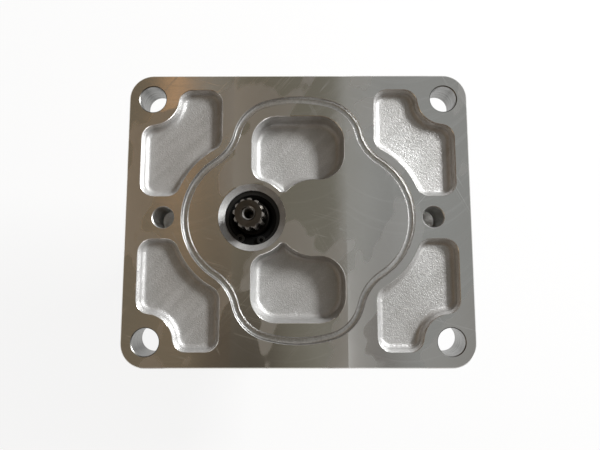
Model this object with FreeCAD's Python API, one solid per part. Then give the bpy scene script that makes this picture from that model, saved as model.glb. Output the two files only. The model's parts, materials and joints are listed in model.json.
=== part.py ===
import FreeCAD, Part

import math
import os

# External gear pump with a cast mounting flange. Millimetres.
# The machined mounting face lies at z = 0 and looks along +Z, towards the driving machine.
# The origin is the centre of the four flange bolts, and the drive shaft stands on the -X side.

# Flange bolt holes, clearance for M14
flange_bolt_span_x = 172.0
flange_bolt_span_y = 141.0
flange_hole_diameter = 15.5
hole_edge_chamfer = 0.5

# Flange plate, which reaches past its bolts by a margin
plate_side_margin = 14.0
plate_end_margin = 14.5
plate_length = flange_bolt_span_x + 2 * plate_side_margin
plate_width = flange_bolt_span_y + 2 * plate_end_margin
plate_thickness = 18.0
plate_corner_radius = 14.0
machined_edge_chamfer = 0.6
cast_edge_radius = 2.0

# Gear pair
gear_centre_distance = 36.0
gear_teeth = 12
gear_pressure_angle = 28.0
gear_addendum = 2.6
gear_dedendum = 2.95
gear_width = 28.0
gear_backlash = 0.12
flank_point_count = 6
drive_axis_x = -26.6
driven_axis_x = drive_axis_x + gear_centre_distance
middle_x = (drive_axis_x + driven_axis_x) / 2
gear_pitch_radius = gear_centre_distance / 2
gear_tip_radius = gear_pitch_radius + gear_addendum
gear_root_radius = gear_pitch_radius - gear_dedendum

# Shaft journals
journal_diameter = 20.0
journal_end_gap = 1.0
journal_chamfer = 0.8
journal_relief_width = 1.5
journal_relief_depth = 0.25
journal_radius = journal_diameter / 2

# Shaft seal, its circlip and the bore that holds both
seal_section_width = 6.0
seal_bore_radius = journal_radius + seal_section_width
seal_lead_in_width = 3.6
seal_lead_in_radius = seal_bore_radius + seal_lead_in_width
seal_lead_in_depth = 2.3
shaft_passage_clearance = 1.0
circlip_top_depth = 3.6
circlip_thickness = 1.2
circlip_groove_width = 1.3
circlip_groove_depth = 0.85
circlip_groove_clearance = 0.05
circlip_back_width = 3.4
circlip_tip_width = 2.2
circlip_lug_radius = 2.4
circlip_lug_inset = 2.1
circlip_lug_hole_diameter = 2.4
circlip_lug_half_angle = 26.0
circlip_gap_direction = -95.0
circlip_to_seal_gap = 0.2
shaft_seal_height = 7.0
shaft_seal_floor_gap = 1.0
shaft_seal_top_depth = circlip_top_depth + circlip_thickness + circlip_to_seal_gap
seal_bore_depth = shaft_seal_top_depth + shaft_seal_height + shaft_seal_floor_gap
seal_case_thickness = 0.8
seal_cover_thickness = 1.0
seal_lip_running_clearance = 0.02
seal_lip_thickness = 1.2
seal_web_gap = 2.4
garter_wire_radius = 0.75
garter_height = 2.1

# Face seal groove: arcs round both ends, round the middle, and the blends between them
seal_groove_end_arc_x = -drive_axis_x
seal_groove_end_arc_radius = 38.9
seal_groove_middle_arc_radius = 70.0
seal_groove_shoulder_radius = 24.0
seal_groove_shoulder_angle = 74.6
seal_groove_waist_radius = 28.0
seal_groove_width = 3.9
seal_groove_depth = 2.3
seal_groove_edge_chamfer = 0.2
seal_groove_root_radius = 1.2

# Blind locating holes for the dowels of the driving machine
locating_hole_to_groove = 12.5
locating_hole_x = seal_groove_end_arc_x + seal_groove_end_arc_radius + locating_hole_to_groove
locating_hole_diameter = 12.0
locating_hole_depth = 20.0
locating_boss_wall = 5.5
locating_boss_floor = 4.0
drill_point_angle = 118.0

# Cored pockets of the four corners of the flange, inside its walls, bolt bosses and seal land
corner_pocket_side_wall = 8.3
corner_pocket_end_wall = 9.0
corner_pocket_bolt_boss_wall = 7.95
corner_pocket_groove_wall = 4.95
corner_pocket_inner_x = 44.7
corner_pocket_near_y = 12.5
corner_pocket_outer_x = plate_length / 2 - corner_pocket_side_wall
corner_pocket_far_y = plate_width / 2 - corner_pocket_end_wall
corner_pocket_bolt_boss_radius = flange_hole_diameter / 2 + corner_pocket_bolt_boss_wall
corner_pocket_land_radius = seal_groove_end_arc_radius + seal_groove_width / 2 + corner_pocket_groove_wall
corner_pocket_land_reach = math.sqrt(corner_pocket_land_radius ** 2 - corner_pocket_near_y ** 2)
corner_pocket_narrow_width = corner_pocket_outer_x - seal_groove_end_arc_x - corner_pocket_land_reach
corner_pocket_full_corner_radius = 8.0
corner_pocket_corner_radius = min(corner_pocket_full_corner_radius, corner_pocket_narrow_width / 2)
smallest_cast_radius = 0.6
corner_pocket_depth = 9.0
corner_pocket_draft = 1.5
corner_pocket_floor_radius = 4.0

# Cored pockets above and below the shafts
central_pocket_half_width = 27.0
central_pocket_far_y = 60.0
central_pocket_bore_wall = 2.7
central_pocket_shaft_land_radius = seal_lead_in_radius + central_pocket_bore_wall
central_pocket_far_corner_radius = 15.0
central_pocket_drive_corner_radius = 9.0
central_pocket_driven_corner_radius = 15.0
central_pocket_cusp_radius = 3.0
central_pocket_depth = 22.0
central_pocket_draft = 2.2
central_pocket_floor_radius = 4.5
floor_fillet_count = 4

# Boss behind the plate that carries the pump body and encloses the central pockets
pocket_housing_wall = 7.0
pocket_housing_corner_radius = 18.0
pocket_housing_floor = 6.5
joint_face_step = 1.5
joint_face_depth = central_pocket_depth + pocket_housing_floor + joint_face_step

# Pump body section, round the bore of the gears
body_side_wall = 16.9
body_port_wall = 21.9
body_half_width = gear_pitch_radius + gear_tip_radius + body_side_wall
body_half_height = gear_tip_radius + body_port_wall
body_corner_radius = 12.0
body_waist_depth = 4.0
body_waist_radius = 30.0
body_waist_edge_radius = 2.5
bearing_block_length = 22.0
gear_end_float = 0.05
gear_bore_clearance = 0.05

# Ports on the sides of the body
port_pad_half_width = 29.0
port_pad_height = 1.5
port_pad_reach = body_half_height + port_pad_height
port_mouth_depth = 18.0
suction_port_diameter = 20.0
suction_passage_diameter = 16.0
suction_bolt_circle = 40.0
pressure_port_diameter = 15.0
pressure_passage_diameter = 12.0
pressure_bolt_circle = 35.0
port_bolt_hole_diameter = 5.0
port_bolt_hole_depth = 13.0

# Rear cover
rear_cover_thickness = 20.0
rear_cover_edge_radius = 4.0

# Body bolts, washers and the sleeves that align the castings
body_bolt_edge_distance = 11.5
body_bolt_offset_x = body_half_width - body_bolt_edge_distance
body_bolt_offset_y = body_half_height - body_bolt_edge_distance
body_bolt_diameter = 10.0
body_bolt_engagement = 16.9
body_bolt_head_diameter = 16.0
body_bolt_head_height = body_bolt_diameter
body_bolt_socket_width = 8.0
body_bolt_socket_depth = 5.0
body_bolt_end_chamfer = 1.0
body_bolt_clearance = 0.25
thread_clearance = 0.03
bolt_end_clearance = 2.0
washer_diameter = 20.0
washer_thickness = 2.0
spot_face_margin = 1.0
spot_face_depth = 1.0
sleeve_bolt_gap = 0.4
sleeve_wall = 1.6
sleeve_length = 12.0
sleeve_clearance = 0.05

# Splined end of the drive shaft
shaft_reach = 18.0
spline_shoulder_depth = 1.0
spline_teeth = 12
spline_pitch_diameter = 15.0
spline_addendum = 1.0
spline_dedendum = 0.3
spline_pressure_angle = 30.0
spline_tooth_thickness = 2.6
spline_first_tooth_angle = 25.5
spline_end_chamfer = 1.2
centre_hole_mouth_diameter = 8.1
centre_hole_clearance_diameter = 5.3
centre_hole_clearance_depth = 4.6
shaft_thread_diameter = 4.2
shaft_thread_depth = 14.0
turning_centre_diameter = 6.0
turning_centre_angle = 60.0

# Bearing blocks and their plain bushes
bush_wall = 1.5
bush_running_clearance = 0.03
bush_end_recess = 0.5
bush_lead = 0.4
block_side_clearance = 0.03
relief_slot_half_width = 5.0
relief_slot_start = 2.6
relief_slot_depth = 2.0
axial_seal_link_radius = 3.0
axial_seal_arc_radius = gear_pitch_radius - axial_seal_link_radius
axial_groove_width = 3.0
axial_groove_depth = 2.2
backup_strip_width = 1.0

# Seals in the end faces of the body
body_seal_wall = 2.0
body_seal_width = 2.5
body_seal_side_clearance = 0.05
body_seal_depth = 2.0

# Levels along Z that follow from the sizes above
body_front_z = -joint_face_depth
front_block_gear_face_z = body_front_z - bearing_block_length
gear_front_z = front_block_gear_face_z - gear_end_float
gear_rear_z = gear_front_z - gear_width
rear_block_gear_face_z = gear_rear_z - gear_end_float
body_rear_z = rear_block_gear_face_z - bearing_block_length
rear_cover_rear_z = body_rear_z - rear_cover_thickness
washer_seat_z = rear_cover_rear_z + spot_face_depth
head_seat_z = washer_seat_z - washer_thickness
bolt_tip_z = body_front_z + body_bolt_engagement
port_z = (body_front_z + body_rear_z) / 2
shaft_seal_top_z = -shaft_seal_top_depth
shaft_seal_low_z = shaft_seal_top_z - shaft_seal_height
garter_z = shaft_seal_low_z + garter_height

# Radii that follow from the sizes above
gear_bore_radius = gear_tip_radius + gear_bore_clearance
bush_inner_radius = journal_radius + bush_running_clearance
bush_outer_radius = bush_inner_radius + bush_wall
bolt_hole_radius = body_bolt_diameter / 2 + body_bolt_clearance
spot_face_radius = washer_diameter / 2 + spot_face_margin
sleeve_outer_radius = body_bolt_diameter / 2 + sleeve_bolt_gap + sleeve_wall
circlip_groove_radius = seal_bore_radius + circlip_groove_depth
seal_case_outer_radius = seal_bore_radius - seal_cover_thickness
seal_web_inner_radius = journal_radius + seal_web_gap
seal_lip_radius = journal_radius + seal_lip_running_clearance
seal_lip_back_radius = seal_lip_radius + seal_lip_thickness
garter_ring_radius = seal_lip_back_radius + garter_wire_radius

shaft_axes = (drive_axis_x, driven_axis_x)
up = FreeCAD.Vector(0, 0, 1)
overrun = 1.0
same_place = 1e-6
near_by = 0.1


def point(x, y, z=0.0):
    return FreeCAD.Vector(x, y, z)


def fused(shapes):
    first, *others = shapes
    return first.fuse(others).removeSplitter() if others else first


def cut(shape, tools):
    return shape.cut(tools).removeSplitter()


def cylinder(radius, z_low, z_high, x=0.0, y=0.0):
    return Part.makeCylinder(radius, z_high - z_low, point(x, y, z_low), up)


def block(x_low, x_high, y_low, y_high, z_low, z_high):
    corner = point(x_low, y_low, z_low)
    return Part.makeBox(x_high - x_low, y_high - y_low, z_high - z_low, corner)


def turned(profile, x=0.0, y=0.0):
    """Solid of revolution about a vertical axis, from (radius, z) corners."""
    corners = [point(radius, 0, z) for radius, z in profile]
    wire = Part.makePolygon(corners + corners[:1])
    solid = Part.Face(wire).revolve(point(0, 0), up, 360)
    solid.translate(point(x, y))
    return solid


def cone_length(radius, included_angle):
    return radius / math.tan(math.radians(included_angle / 2))


def drilled(radius, z_mouth, depth, x, y):
    """Blind hole that opens upwards and ends in the cone that the drill leaves."""
    bottom = z_mouth - depth
    tip = bottom - cone_length(radius, drill_point_angle)
    return turned([(0, z_mouth), (radius, z_mouth), (radius, bottom), (0, tip)], x, y)


def edge_break(radius, chamfer, z, outward):
    """Countersink that breaks the edge of a hole; outward is +1 at an upper face."""
    rim = radius + chamfer
    return [(0, z + outward * overrun), (rim, z + outward * overrun), (rim, z),
            (radius, z - outward * chamfer), (0, z - outward * chamfer)]


def is_vertical(edge):
    if len(edge.Vertexes) < 2:
        return False
    span = edge.Vertexes[1].Point - edge.Vertexes[0].Point
    return math.hypot(span.x, span.y) < same_place and abs(span.z) > same_place


def vertical_edges(solid, chosen=lambda x, y: True):
    picked = []
    for edge in solid.Edges:
        if is_vertical(edge):
            foot = edge.Vertexes[0].Point
            if chosen(foot.x, foot.y):
                picked.append(edge)
    return picked


def edges_at_height(solid, z):
    boxes = [(edge, edge.BoundBox) for edge in solid.Edges]
    return [edge for edge, box in boxes if max(abs(box.ZMin - z), abs(box.ZMax - z)) < same_place]


def four_corners(span_x, span_y):
    return [(sx * span_x / 2, sy * span_y / 2) for sx in (-1, 1) for sy in (-1, 1)]


def body_bolt_places():
    return [(middle_x + x, y) for x, y in four_corners(2 * body_bolt_offset_x, 2 * body_bolt_offset_y)]


def sleeve_places():
    """The alignment sleeves sit round two bolts on a diagonal."""
    places = body_bolt_places()
    return [places[0], places[3]]


# Gears and splines


def involute(angle):
    return math.tan(angle) - angle


def toothed_prism(teeth, pitch_radius, pressure_angle, thickness, tip_radius, root_radius,
                  first_angle, z_low, z_high):
    """Prism with involute teeth; thickness is measured along the pitch circle."""
    pressure = math.radians(pressure_angle)
    base_radius = pitch_radius * math.cos(pressure)
    flank_start = max(base_radius, root_radius)
    half_at_pitch = thickness / (2 * pitch_radius)

    def half_angle(radius):
        at_radius = math.acos(min(1.0, base_radius / radius))
        return half_at_pitch + involute(pressure) - involute(at_radius)

    def polar(radius, angle):
        return point(radius * math.cos(angle), radius * math.sin(angle), z_low)

    step = (tip_radius - flank_start) / (flank_point_count - 1)
    radii = [flank_start + step * k for k in range(flank_point_count)]
    pitch_angle = 2 * math.pi / teeth
    edges = []
    for tooth in range(teeth):
        middle = math.radians(first_angle) + tooth * pitch_angle
        rising = Part.BSplineCurve()
        rising.interpolate([polar(radius, middle - half_angle(radius)) for radius in radii])
        falling = Part.BSplineCurve()
        falling.interpolate([polar(radius, middle + half_angle(radius)) for radius in reversed(radii)])
        tip_half = half_angle(tip_radius)
        root_half = half_angle(flank_start)
        tip = Part.Arc(polar(tip_radius, middle - tip_half), polar(tip_radius, middle),
                       polar(tip_radius, middle + tip_half))
        gap_start = middle + root_half
        gap_end = middle + pitch_angle - root_half
        gap_middle = (gap_start + gap_end) / 2
        root = Part.Arc(polar(root_radius, gap_start), polar(root_radius, gap_middle),
                        polar(root_radius, gap_end))
        edges += [rising.toShape(), tip.toShape(), falling.toShape()]
        if flank_start > root_radius:
            edges.append(Part.makeLine(polar(flank_start, gap_start), polar(root_radius, gap_start)))
        edges.append(root.toShape())
        if flank_start > root_radius:
            edges.append(Part.makeLine(polar(root_radius, gap_end), polar(flank_start, gap_end)))
    face = Part.Face(Part.Wire(edges))
    return face.extrude(point(0, 0, z_high - z_low))


def gear(first_angle):
    thickness = math.pi * gear_pitch_radius / gear_teeth - gear_backlash / 2
    return toothed_prism(gear_teeth, gear_pitch_radius, gear_pressure_angle, thickness, gear_tip_radius,
                         gear_root_radius, first_angle, gear_rear_z, gear_front_z)


def journal(z_low, z_high, chamfer_low, chamfer_high):
    """Ground bearing journal; each chamfer is zero where the shaft runs on."""
    radius = journal_radius
    return turned([(0, z_low), (radius - chamfer_low, z_low), (radius, z_low + chamfer_low),
                   (radius, z_high - chamfer_high), (radius - chamfer_high, z_high), (0, z_high)])


def journal_reliefs():
    """Shallow grinding undercuts against both faces of the gear."""
    inner = journal_radius - journal_relief_depth
    outer = journal_radius + overrun
    rings = []
    for low in (gear_front_z, gear_rear_z - journal_relief_width):
        high = low + journal_relief_width
        rings.append(turned([(inner, low), (outer, low), (outer, high), (inner, high)]))
    return rings


def turning_centre(z_face, inward):
    """Conical centre that the shaft was turned and ground between; inward is -1 from an upper face."""
    radius = turning_centre_diameter / 2
    tip = z_face + inward * cone_length(radius, turning_centre_angle)
    return turned([(0, z_face), (radius, z_face), (0, tip)])


def threaded_centre_hole():
    """Protected centre hole in the end of the drive shaft, with the drilling for its thread."""
    mouth = centre_hole_mouth_diameter / 2
    clearance = centre_hole_clearance_diameter / 2
    drill = shaft_thread_diameter / 2
    cone_end = shaft_reach - cone_length(mouth - clearance, turning_centre_angle)
    clearance_end = shaft_reach - centre_hole_clearance_depth
    bottom = shaft_reach - shaft_thread_depth
    tip = bottom - cone_length(drill, drill_point_angle)
    return turned([(0, shaft_reach), (mouth, shaft_reach), (clearance, cone_end), (clearance, clearance_end),
                   (drill, clearance_end - (clearance - drill)), (drill, bottom), (0, tip)])


def spline_end():
    shoulder = -spline_shoulder_depth
    pitch_radius = spline_pitch_diameter / 2
    tip_radius = pitch_radius + spline_addendum
    teeth = toothed_prism(spline_teeth, pitch_radius, spline_pressure_angle, spline_tooth_thickness,
                          tip_radius, pitch_radius - spline_dedendum, spline_first_tooth_angle,
                          shoulder, shaft_reach)
    rim = tip_radius + overrun
    envelope = turned([(0, shoulder), (rim, shoulder), (rim, shaft_reach - spline_end_chamfer - overrun),
                       (tip_radius - spline_end_chamfer, shaft_reach), (0, shaft_reach)])
    return teeth.common(envelope)


def drive_gear_shaft():
    front = journal(gear_front_z, -spline_shoulder_depth, 0, journal_chamfer)
    rear = journal(body_rear_z + journal_end_gap, gear_rear_z, journal_chamfer, 0)
    shaft = cut(fused([gear(0), front, rear, spline_end()]), journal_reliefs())
    shaft = cut(shaft, [threaded_centre_hole(), turning_centre(body_rear_z + journal_end_gap, 1)])
    shaft.translate(point(drive_axis_x, 0))
    return shaft


def driven_gear_shaft():
    """The gap between two of its teeth faces the first tooth of the drive gear."""
    half_pitch = math.degrees(math.pi / gear_teeth)
    front_end = body_front_z - journal_end_gap
    rear_end = body_rear_z + journal_end_gap
    front = journal(gear_front_z, front_end, 0, journal_chamfer)
    rear = journal(rear_end, gear_rear_z, journal_chamfer, 0)
    shaft = cut(fused([gear(180 + half_pitch), front, rear]), journal_reliefs())
    shaft = cut(shaft, [turning_centre(front_end, -1), turning_centre(rear_end, 1)])
    shaft.translate(point(driven_axis_x, 0))
    return shaft


# Outlines of the castings


def casing(z_low, z_high, port_pads):
    """Outline shared by the boss of the flange, the pump body and the rear cover."""
    left = middle_x - body_half_width
    right = middle_x + body_half_width
    solid = block(left, right, -body_half_height, body_half_height, z_low, z_high)
    solid = solid.makeFillet(body_corner_radius, vertical_edges(solid))
    centre_offset = body_half_width - body_waist_depth + body_waist_radius
    waists = [cylinder(body_waist_radius, z_low, z_high, middle_x + side * centre_offset) for side in (-1, 1)]
    solid = cut(solid, waists)
    waist_half = math.sqrt(body_waist_radius ** 2 - (body_waist_radius - body_waist_depth) ** 2)
    solid = solid.makeFillet(body_waist_edge_radius,
                             vertical_edges(solid, lambda x, y: abs(abs(y) - waist_half) < near_by))
    if port_pads:
        pads = block(middle_x - port_pad_half_width, middle_x + port_pad_half_width,
                     -port_pad_reach, port_pad_reach, z_low, z_high)
        solid = fused([solid, pads])
    return solid


def figure_eight(radius, z_low, z_high):
    return fused([cylinder(radius, z_low, z_high, x) for x in shaft_axes])


# Cored pockets of the flange


def top_wire(solid):
    return max(solid.Faces, key=lambda face: face.CenterOfMass.z).OuterWire


def corner_pocket_section(inset, z):
    """Outline of the pocket at the +X +Y corner, drawn in by inset, at height z."""
    land = corner_pocket_land_radius + inset
    boss = corner_pocket_bolt_boss_radius + inset
    solid = block(corner_pocket_inner_x + inset, corner_pocket_outer_x - inset,
                  corner_pocket_near_y + inset, corner_pocket_far_y - inset, z - overrun, z)
    solid = solid.cut([cylinder(land, z - overrun, z, seal_groove_end_arc_x),
                       cylinder(boss, z - overrun, z, flange_bolt_span_x / 2, flange_bolt_span_y / 2)])
    rounding = max(corner_pocket_corner_radius - inset, smallest_cast_radius)
    return top_wire(solid.makeFillet(rounding, vertical_edges(solid)))


def central_pocket_section(inset, z):
    """Outline of the pocket on the +Y side, drawn in by inset, at height z."""
    half = central_pocket_half_width - inset
    land = central_pocket_shaft_land_radius + inset
    solid = block(-half, half, 0, central_pocket_far_y - inset, z - overrun, z)
    solid = solid.cut([cylinder(land, z - overrun, z, x) for x in shaft_axes])
    radii = ((central_pocket_far_corner_radius, lambda x, y: y > central_pocket_far_y - inset - near_by),
             (central_pocket_drive_corner_radius, lambda x, y: x < -half + near_by),
             (central_pocket_driven_corner_radius, lambda x, y: x > half - near_by),
             (central_pocket_cusp_radius, lambda x, y: abs(x - middle_x) < near_by))
    lone = max(solid.Solids, key=lambda piece: piece.Volume)
    for radius, chosen in radii:
        edges = vertical_edges(lone, chosen)
        lone = lone.makeFillet(max(radius - inset, smallest_cast_radius), edges)
    return top_wire(lone)


def cored(section, depth, draft, floor_radius):
    """Pocket core: drafted walls that run into the floor through a fillet."""
    wall_end = -(depth - floor_radius)
    wall = Part.makeLoft([section(0, 0), section(draft, wall_end)], True, True)
    sections = []
    for step in range(floor_fillet_count + 1):
        turn = math.pi / 2 * step / floor_fillet_count
        inset = draft + floor_radius * (1 - math.cos(turn))
        sections.append(section(inset, wall_end - floor_radius * math.sin(turn)))
    floor = Part.makeLoft(sections, True, False)
    return [wall, floor]


def mirrored(shapes, normals):
    """The shapes and their images across the planes through the origin with these normals."""
    result = list(shapes)
    for normal in normals:
        result += [shape.mirror(point(0, 0), normal) for shape in result]
    return result


def pocket_cores():
    corners = cored(corner_pocket_section, corner_pocket_depth, corner_pocket_draft,
                    corner_pocket_floor_radius)
    centres = cored(central_pocket_section, central_pocket_depth, central_pocket_draft,
                    central_pocket_floor_radius)
    return mirrored(corners, (point(1, 0), point(0, 1))) + mirrored(centres, (point(0, 1),))


# Seal groove of the mounting face


def circles_meeting_point(first, first_radius, second, second_radius):
    """The crossing of two circles that lies further out along +X."""
    span = second - first
    along = (first_radius ** 2 - second_radius ** 2 + span.Length ** 2) / (2 * span.Length)
    across = math.sqrt(first_radius ** 2 - along ** 2)
    unit = span.normalize()
    return first + unit * along + point(unit.y, -unit.x) * across


def face_groove_wire(offset, z):
    """The groove's path moved outwards by offset: 16 arcs, each tangent to the next."""
    shoulder = math.radians(seal_groove_shoulder_angle)
    shoulder_distance = seal_groove_middle_arc_radius - seal_groove_shoulder_radius
    end_centre = point(seal_groove_end_arc_x, 0)
    shoulder_centre = point(math.cos(shoulder), math.sin(shoulder)) * shoulder_distance
    waist_centre = circles_meeting_point(end_centre, seal_groove_end_arc_radius + seal_groove_waist_radius,
                                         shoulder_centre,
                                         seal_groove_shoulder_radius + seal_groove_waist_radius)
    end_radius = seal_groove_end_arc_radius + offset
    shoulder_radius = seal_groove_shoulder_radius + offset
    middle_radius = seal_groove_middle_arc_radius + offset
    waist_radius = seal_groove_waist_radius - offset

    def on_circle(centre, radius, towards):
        return centre + (towards - centre).normalize() * radius

    end_start = end_centre + point(end_radius, 0)
    end_join = on_circle(end_centre, end_radius, waist_centre)
    shoulder_join = on_circle(shoulder_centre, shoulder_radius, waist_centre)
    middle_join = point(math.cos(shoulder), math.sin(shoulder)) * middle_radius
    middle_end = point(0, middle_radius)
    legs = [(end_centre, end_radius, end_start, end_join),
            (waist_centre, waist_radius, end_join, shoulder_join),
            (shoulder_centre, shoulder_radius, shoulder_join, middle_join),
            (point(0, 0), middle_radius, middle_join, middle_end)]
    arcs = []
    for centre, radius, start, end in legs:
        halfway = on_circle(centre, radius, (start + end) * 0.5)
        arcs.append(Part.Arc(start, halfway, end).toShape())
    wire = Part.Wire(Part.__sortEdges__(mirrored(arcs, (point(1, 0), point(0, 1)))))
    wire.translate(point(0, 0, z))
    return wire


def ring_prism(outer_wire, inner_wire, height):
    outer = Part.Face(outer_wire).extrude(point(0, 0, height))
    inner = Part.Face(inner_wire).extrude(point(0, 0, height))
    return outer.cut(inner)


def face_groove():
    half = seal_groove_width / 2
    chamfer = seal_groove_edge_chamfer
    floor = -seal_groove_depth
    slot = ring_prism(face_groove_wire(half, floor), face_groove_wire(-half, floor),
                      seal_groove_depth + overrun)
    slot = slot.makeFillet(seal_groove_root_radius, edges_at_height(slot, floor))
    flares = []
    for side in (1, -1):
        wires = [face_groove_wire(side * half, -chamfer), face_groove_wire(side * (half + chamfer), 0)]
        flares.append(Part.makeLoft(wires, True, True))
    return [slot, flares[0].cut(flares[1])]


# Front cover


def plate():
    half_x = plate_length / 2
    half_y = plate_width / 2
    solid = block(-half_x, half_x, -half_y, half_y, -plate_thickness, 0)
    solid = solid.makeFillet(plate_corner_radius, vertical_edges(solid))
    solid = solid.makeChamfer(machined_edge_chamfer, edges_at_height(solid, 0))
    return solid.makeFillet(cast_edge_radius, edges_at_height(solid, -plate_thickness))


def pocket_housing():
    """Walls and floor round the two central pockets, behind the plate."""
    half_x = central_pocket_half_width + pocket_housing_wall
    half_y = central_pocket_far_y + pocket_housing_wall
    low = -central_pocket_depth - pocket_housing_floor
    solid = block(-half_x, half_x, -half_y, half_y, low, -plate_thickness)
    solid = solid.makeFillet(pocket_housing_corner_radius, vertical_edges(solid))
    return solid.makeFillet(cast_edge_radius, edges_at_height(solid, low))


def locating_boss(x):
    radius = locating_hole_diameter / 2 + locating_boss_wall
    hole_tip = -locating_hole_depth - cone_length(locating_hole_diameter / 2, drill_point_angle)
    low = hole_tip - locating_boss_floor
    edge = cast_edge_radius
    return turned([(0, low), (radius - edge, low), (radius, low + edge), (radius, -plate_thickness),
                   (0, -plate_thickness)], x)


def seal_bore():
    """Stepped bore for the shaft seal, with its lead-in, circlip groove and shaft passage."""
    radius = seal_bore_radius
    passage = journal_radius + shaft_passage_clearance
    groove = circlip_groove_radius
    groove_top = -circlip_top_depth + (circlip_groove_width - circlip_thickness) / 2
    groove_low = groove_top - circlip_groove_width
    end = body_front_z - overrun
    return turned([(0, overrun), (seal_lead_in_radius, overrun), (seal_lead_in_radius, 0),
                   (radius, -seal_lead_in_depth), (radius, groove_top), (groove, groove_top),
                   (groove, groove_low), (radius, groove_low), (radius, -seal_bore_depth),
                   (passage, -seal_bore_depth), (passage, end), (0, end)], drive_axis_x)


def sleeve_seat(z_joint, x, y):
    reach = sleeve_length / 2 + sleeve_clearance
    return cylinder(sleeve_outer_radius, z_joint - reach, z_joint + reach, x, y)


def front_cover():
    solid = fused([plate(), pocket_housing(), casing(body_front_z, -plate_thickness, False)]
                  + [locating_boss(side * locating_hole_x) for side in (-1, 1)])
    tools = pocket_cores() + face_groove() + [seal_bore()]
    hole = flange_hole_diameter / 2
    for x, y in four_corners(flange_bolt_span_x, flange_bolt_span_y):
        tools.append(cylinder(hole, -plate_thickness - overrun, overrun, x, y))
        tools.append(turned(edge_break(hole, hole_edge_chamfer, 0, 1), x, y))
        tools.append(turned(edge_break(hole, hole_edge_chamfer, -plate_thickness, -1), x, y))
    hole = locating_hole_diameter / 2
    for side in (-1, 1):
        x = side * locating_hole_x
        tools.append(drilled(hole, 0, locating_hole_depth, x, 0))
        tools.append(turned(edge_break(hole, hole_edge_chamfer, 0, 1), x))
    thread = body_bolt_diameter / 2 + thread_clearance
    for x, y in body_bolt_places():
        bottom = bolt_tip_z + bolt_end_clearance
        tools.append(turned([(0, body_front_z - overrun), (thread, body_front_z - overrun), (thread, bottom),
                             (0, bottom + cone_length(thread, drill_point_angle))], x, y))
    tools += [sleeve_seat(body_front_z, x, y) for x, y in sleeve_places()]
    return cut(solid, tools)


# Pump body and rear cover


def port(side, mouth_diameter, passage_diameter, bolt_circle):
    """Port, its passage to the gears and its four tapped holes; side is the sign of Y."""
    inward = point(0, -side)
    face = side * port_pad_reach

    def bored(diameter, depth, x, z):
        return Part.makeCylinder(diameter / 2, depth, point(middle_x + x, face, port_z + z), inward)

    tools = [bored(mouth_diameter, port_mouth_depth, 0, 0), bored(passage_diameter, port_pad_reach, 0, 0)]
    square = bolt_circle / math.sqrt(2)
    for x, z in four_corners(square, square):
        tools.append(bored(port_bolt_hole_diameter, port_bolt_hole_depth, x, z))
    return tools


def body_seal_band(inner, outer, z_low, z_high):
    """Band that follows the figure-eight bore at a distance, like a running track."""
    bands = []
    for radius in (outer, inner):
        track = [cylinder(radius, z_low, z_high, x) for x in shaft_axes]
        track.append(block(drive_axis_x, driven_axis_x, -radius, radius, z_low, z_high))
        bands.append(fused(track))
    return bands[0].cut(bands[1])


def body_seal_radii(side_clearance):
    inner = gear_bore_radius + body_seal_wall + side_clearance
    return inner, inner + body_seal_width + 2 * (body_seal_side_clearance - side_clearance)


def pump_body():
    solid = casing(body_rear_z, body_front_z, True)
    tools = [figure_eight(gear_bore_radius, body_rear_z - overrun, body_front_z + overrun)]
    tools += port(-1, suction_port_diameter, suction_passage_diameter, suction_bolt_circle)
    tools += port(1, pressure_port_diameter, pressure_passage_diameter, pressure_bolt_circle)
    inner, outer = body_seal_radii(0)
    tools.append(body_seal_band(inner, outer, body_front_z - body_seal_depth, body_front_z + overrun))
    tools.append(body_seal_band(inner, outer, body_rear_z - overrun, body_rear_z + body_seal_depth))
    for x, y in body_bolt_places():
        tools.append(cylinder(bolt_hole_radius, body_rear_z - overrun, body_front_z + overrun, x, y))
    for x, y in sleeve_places():
        tools += [sleeve_seat(body_front_z, x, y), sleeve_seat(body_rear_z, x, y)]
    return cut(solid, tools)


def rear_cover():
    solid = casing(rear_cover_rear_z, body_rear_z, False)
    solid = solid.makeFillet(rear_cover_edge_radius, edges_at_height(solid, rear_cover_rear_z))
    tools = []
    for x, y in body_bolt_places():
        tools.append(cylinder(bolt_hole_radius, rear_cover_rear_z - overrun, body_rear_z + overrun, x, y))
        tools.append(cylinder(spot_face_radius, rear_cover_rear_z - overrun, washer_seat_z, x, y))
    tools += [sleeve_seat(body_rear_z, x, y) for x, y in sleeve_places()]
    return cut(solid, tools)


# Bearing blocks and what sits in them


def axial_band(inner, outer, z_low, z_high):
    """Three-shaped band round the pressure side of both journals; offsets are from its middle line."""
    pieces = []
    for side, x in ((-1, drive_axis_x), (1, driven_axis_x)):
        far = axial_seal_arc_radius + outer
        near = axial_seal_arc_radius + inner
        ring = cylinder(far, z_low, z_high, x).cut(cylinder(near, z_low, z_high, x))
        pieces.append(ring.common(block(x - far, x + far, 0, far, z_low, z_high)))
        outside = sorted((x + side * near, x + side * far))
        pieces.append(block(outside[0], outside[1], -far, 0, z_low, z_high))
    far = axial_seal_link_radius - inner
    near = axial_seal_link_radius - outer
    link = cylinder(far, z_low, z_high, middle_x).cut(cylinder(near, z_low, z_high, middle_x))
    pieces.append(link.common(block(middle_x - far, middle_x + far, -far, 0, z_low, z_high)))
    return fused(pieces)


def axial_levels(front):
    """Lowest and highest level of the seal groove in the outer face of a bearing block."""
    if front:
        return body_front_z - axial_groove_depth, body_front_z
    return body_rear_z, body_rear_z + axial_groove_depth


def block_outline(z_low, z_high):
    return figure_eight(gear_bore_radius - block_side_clearance, z_low, z_high)


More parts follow.
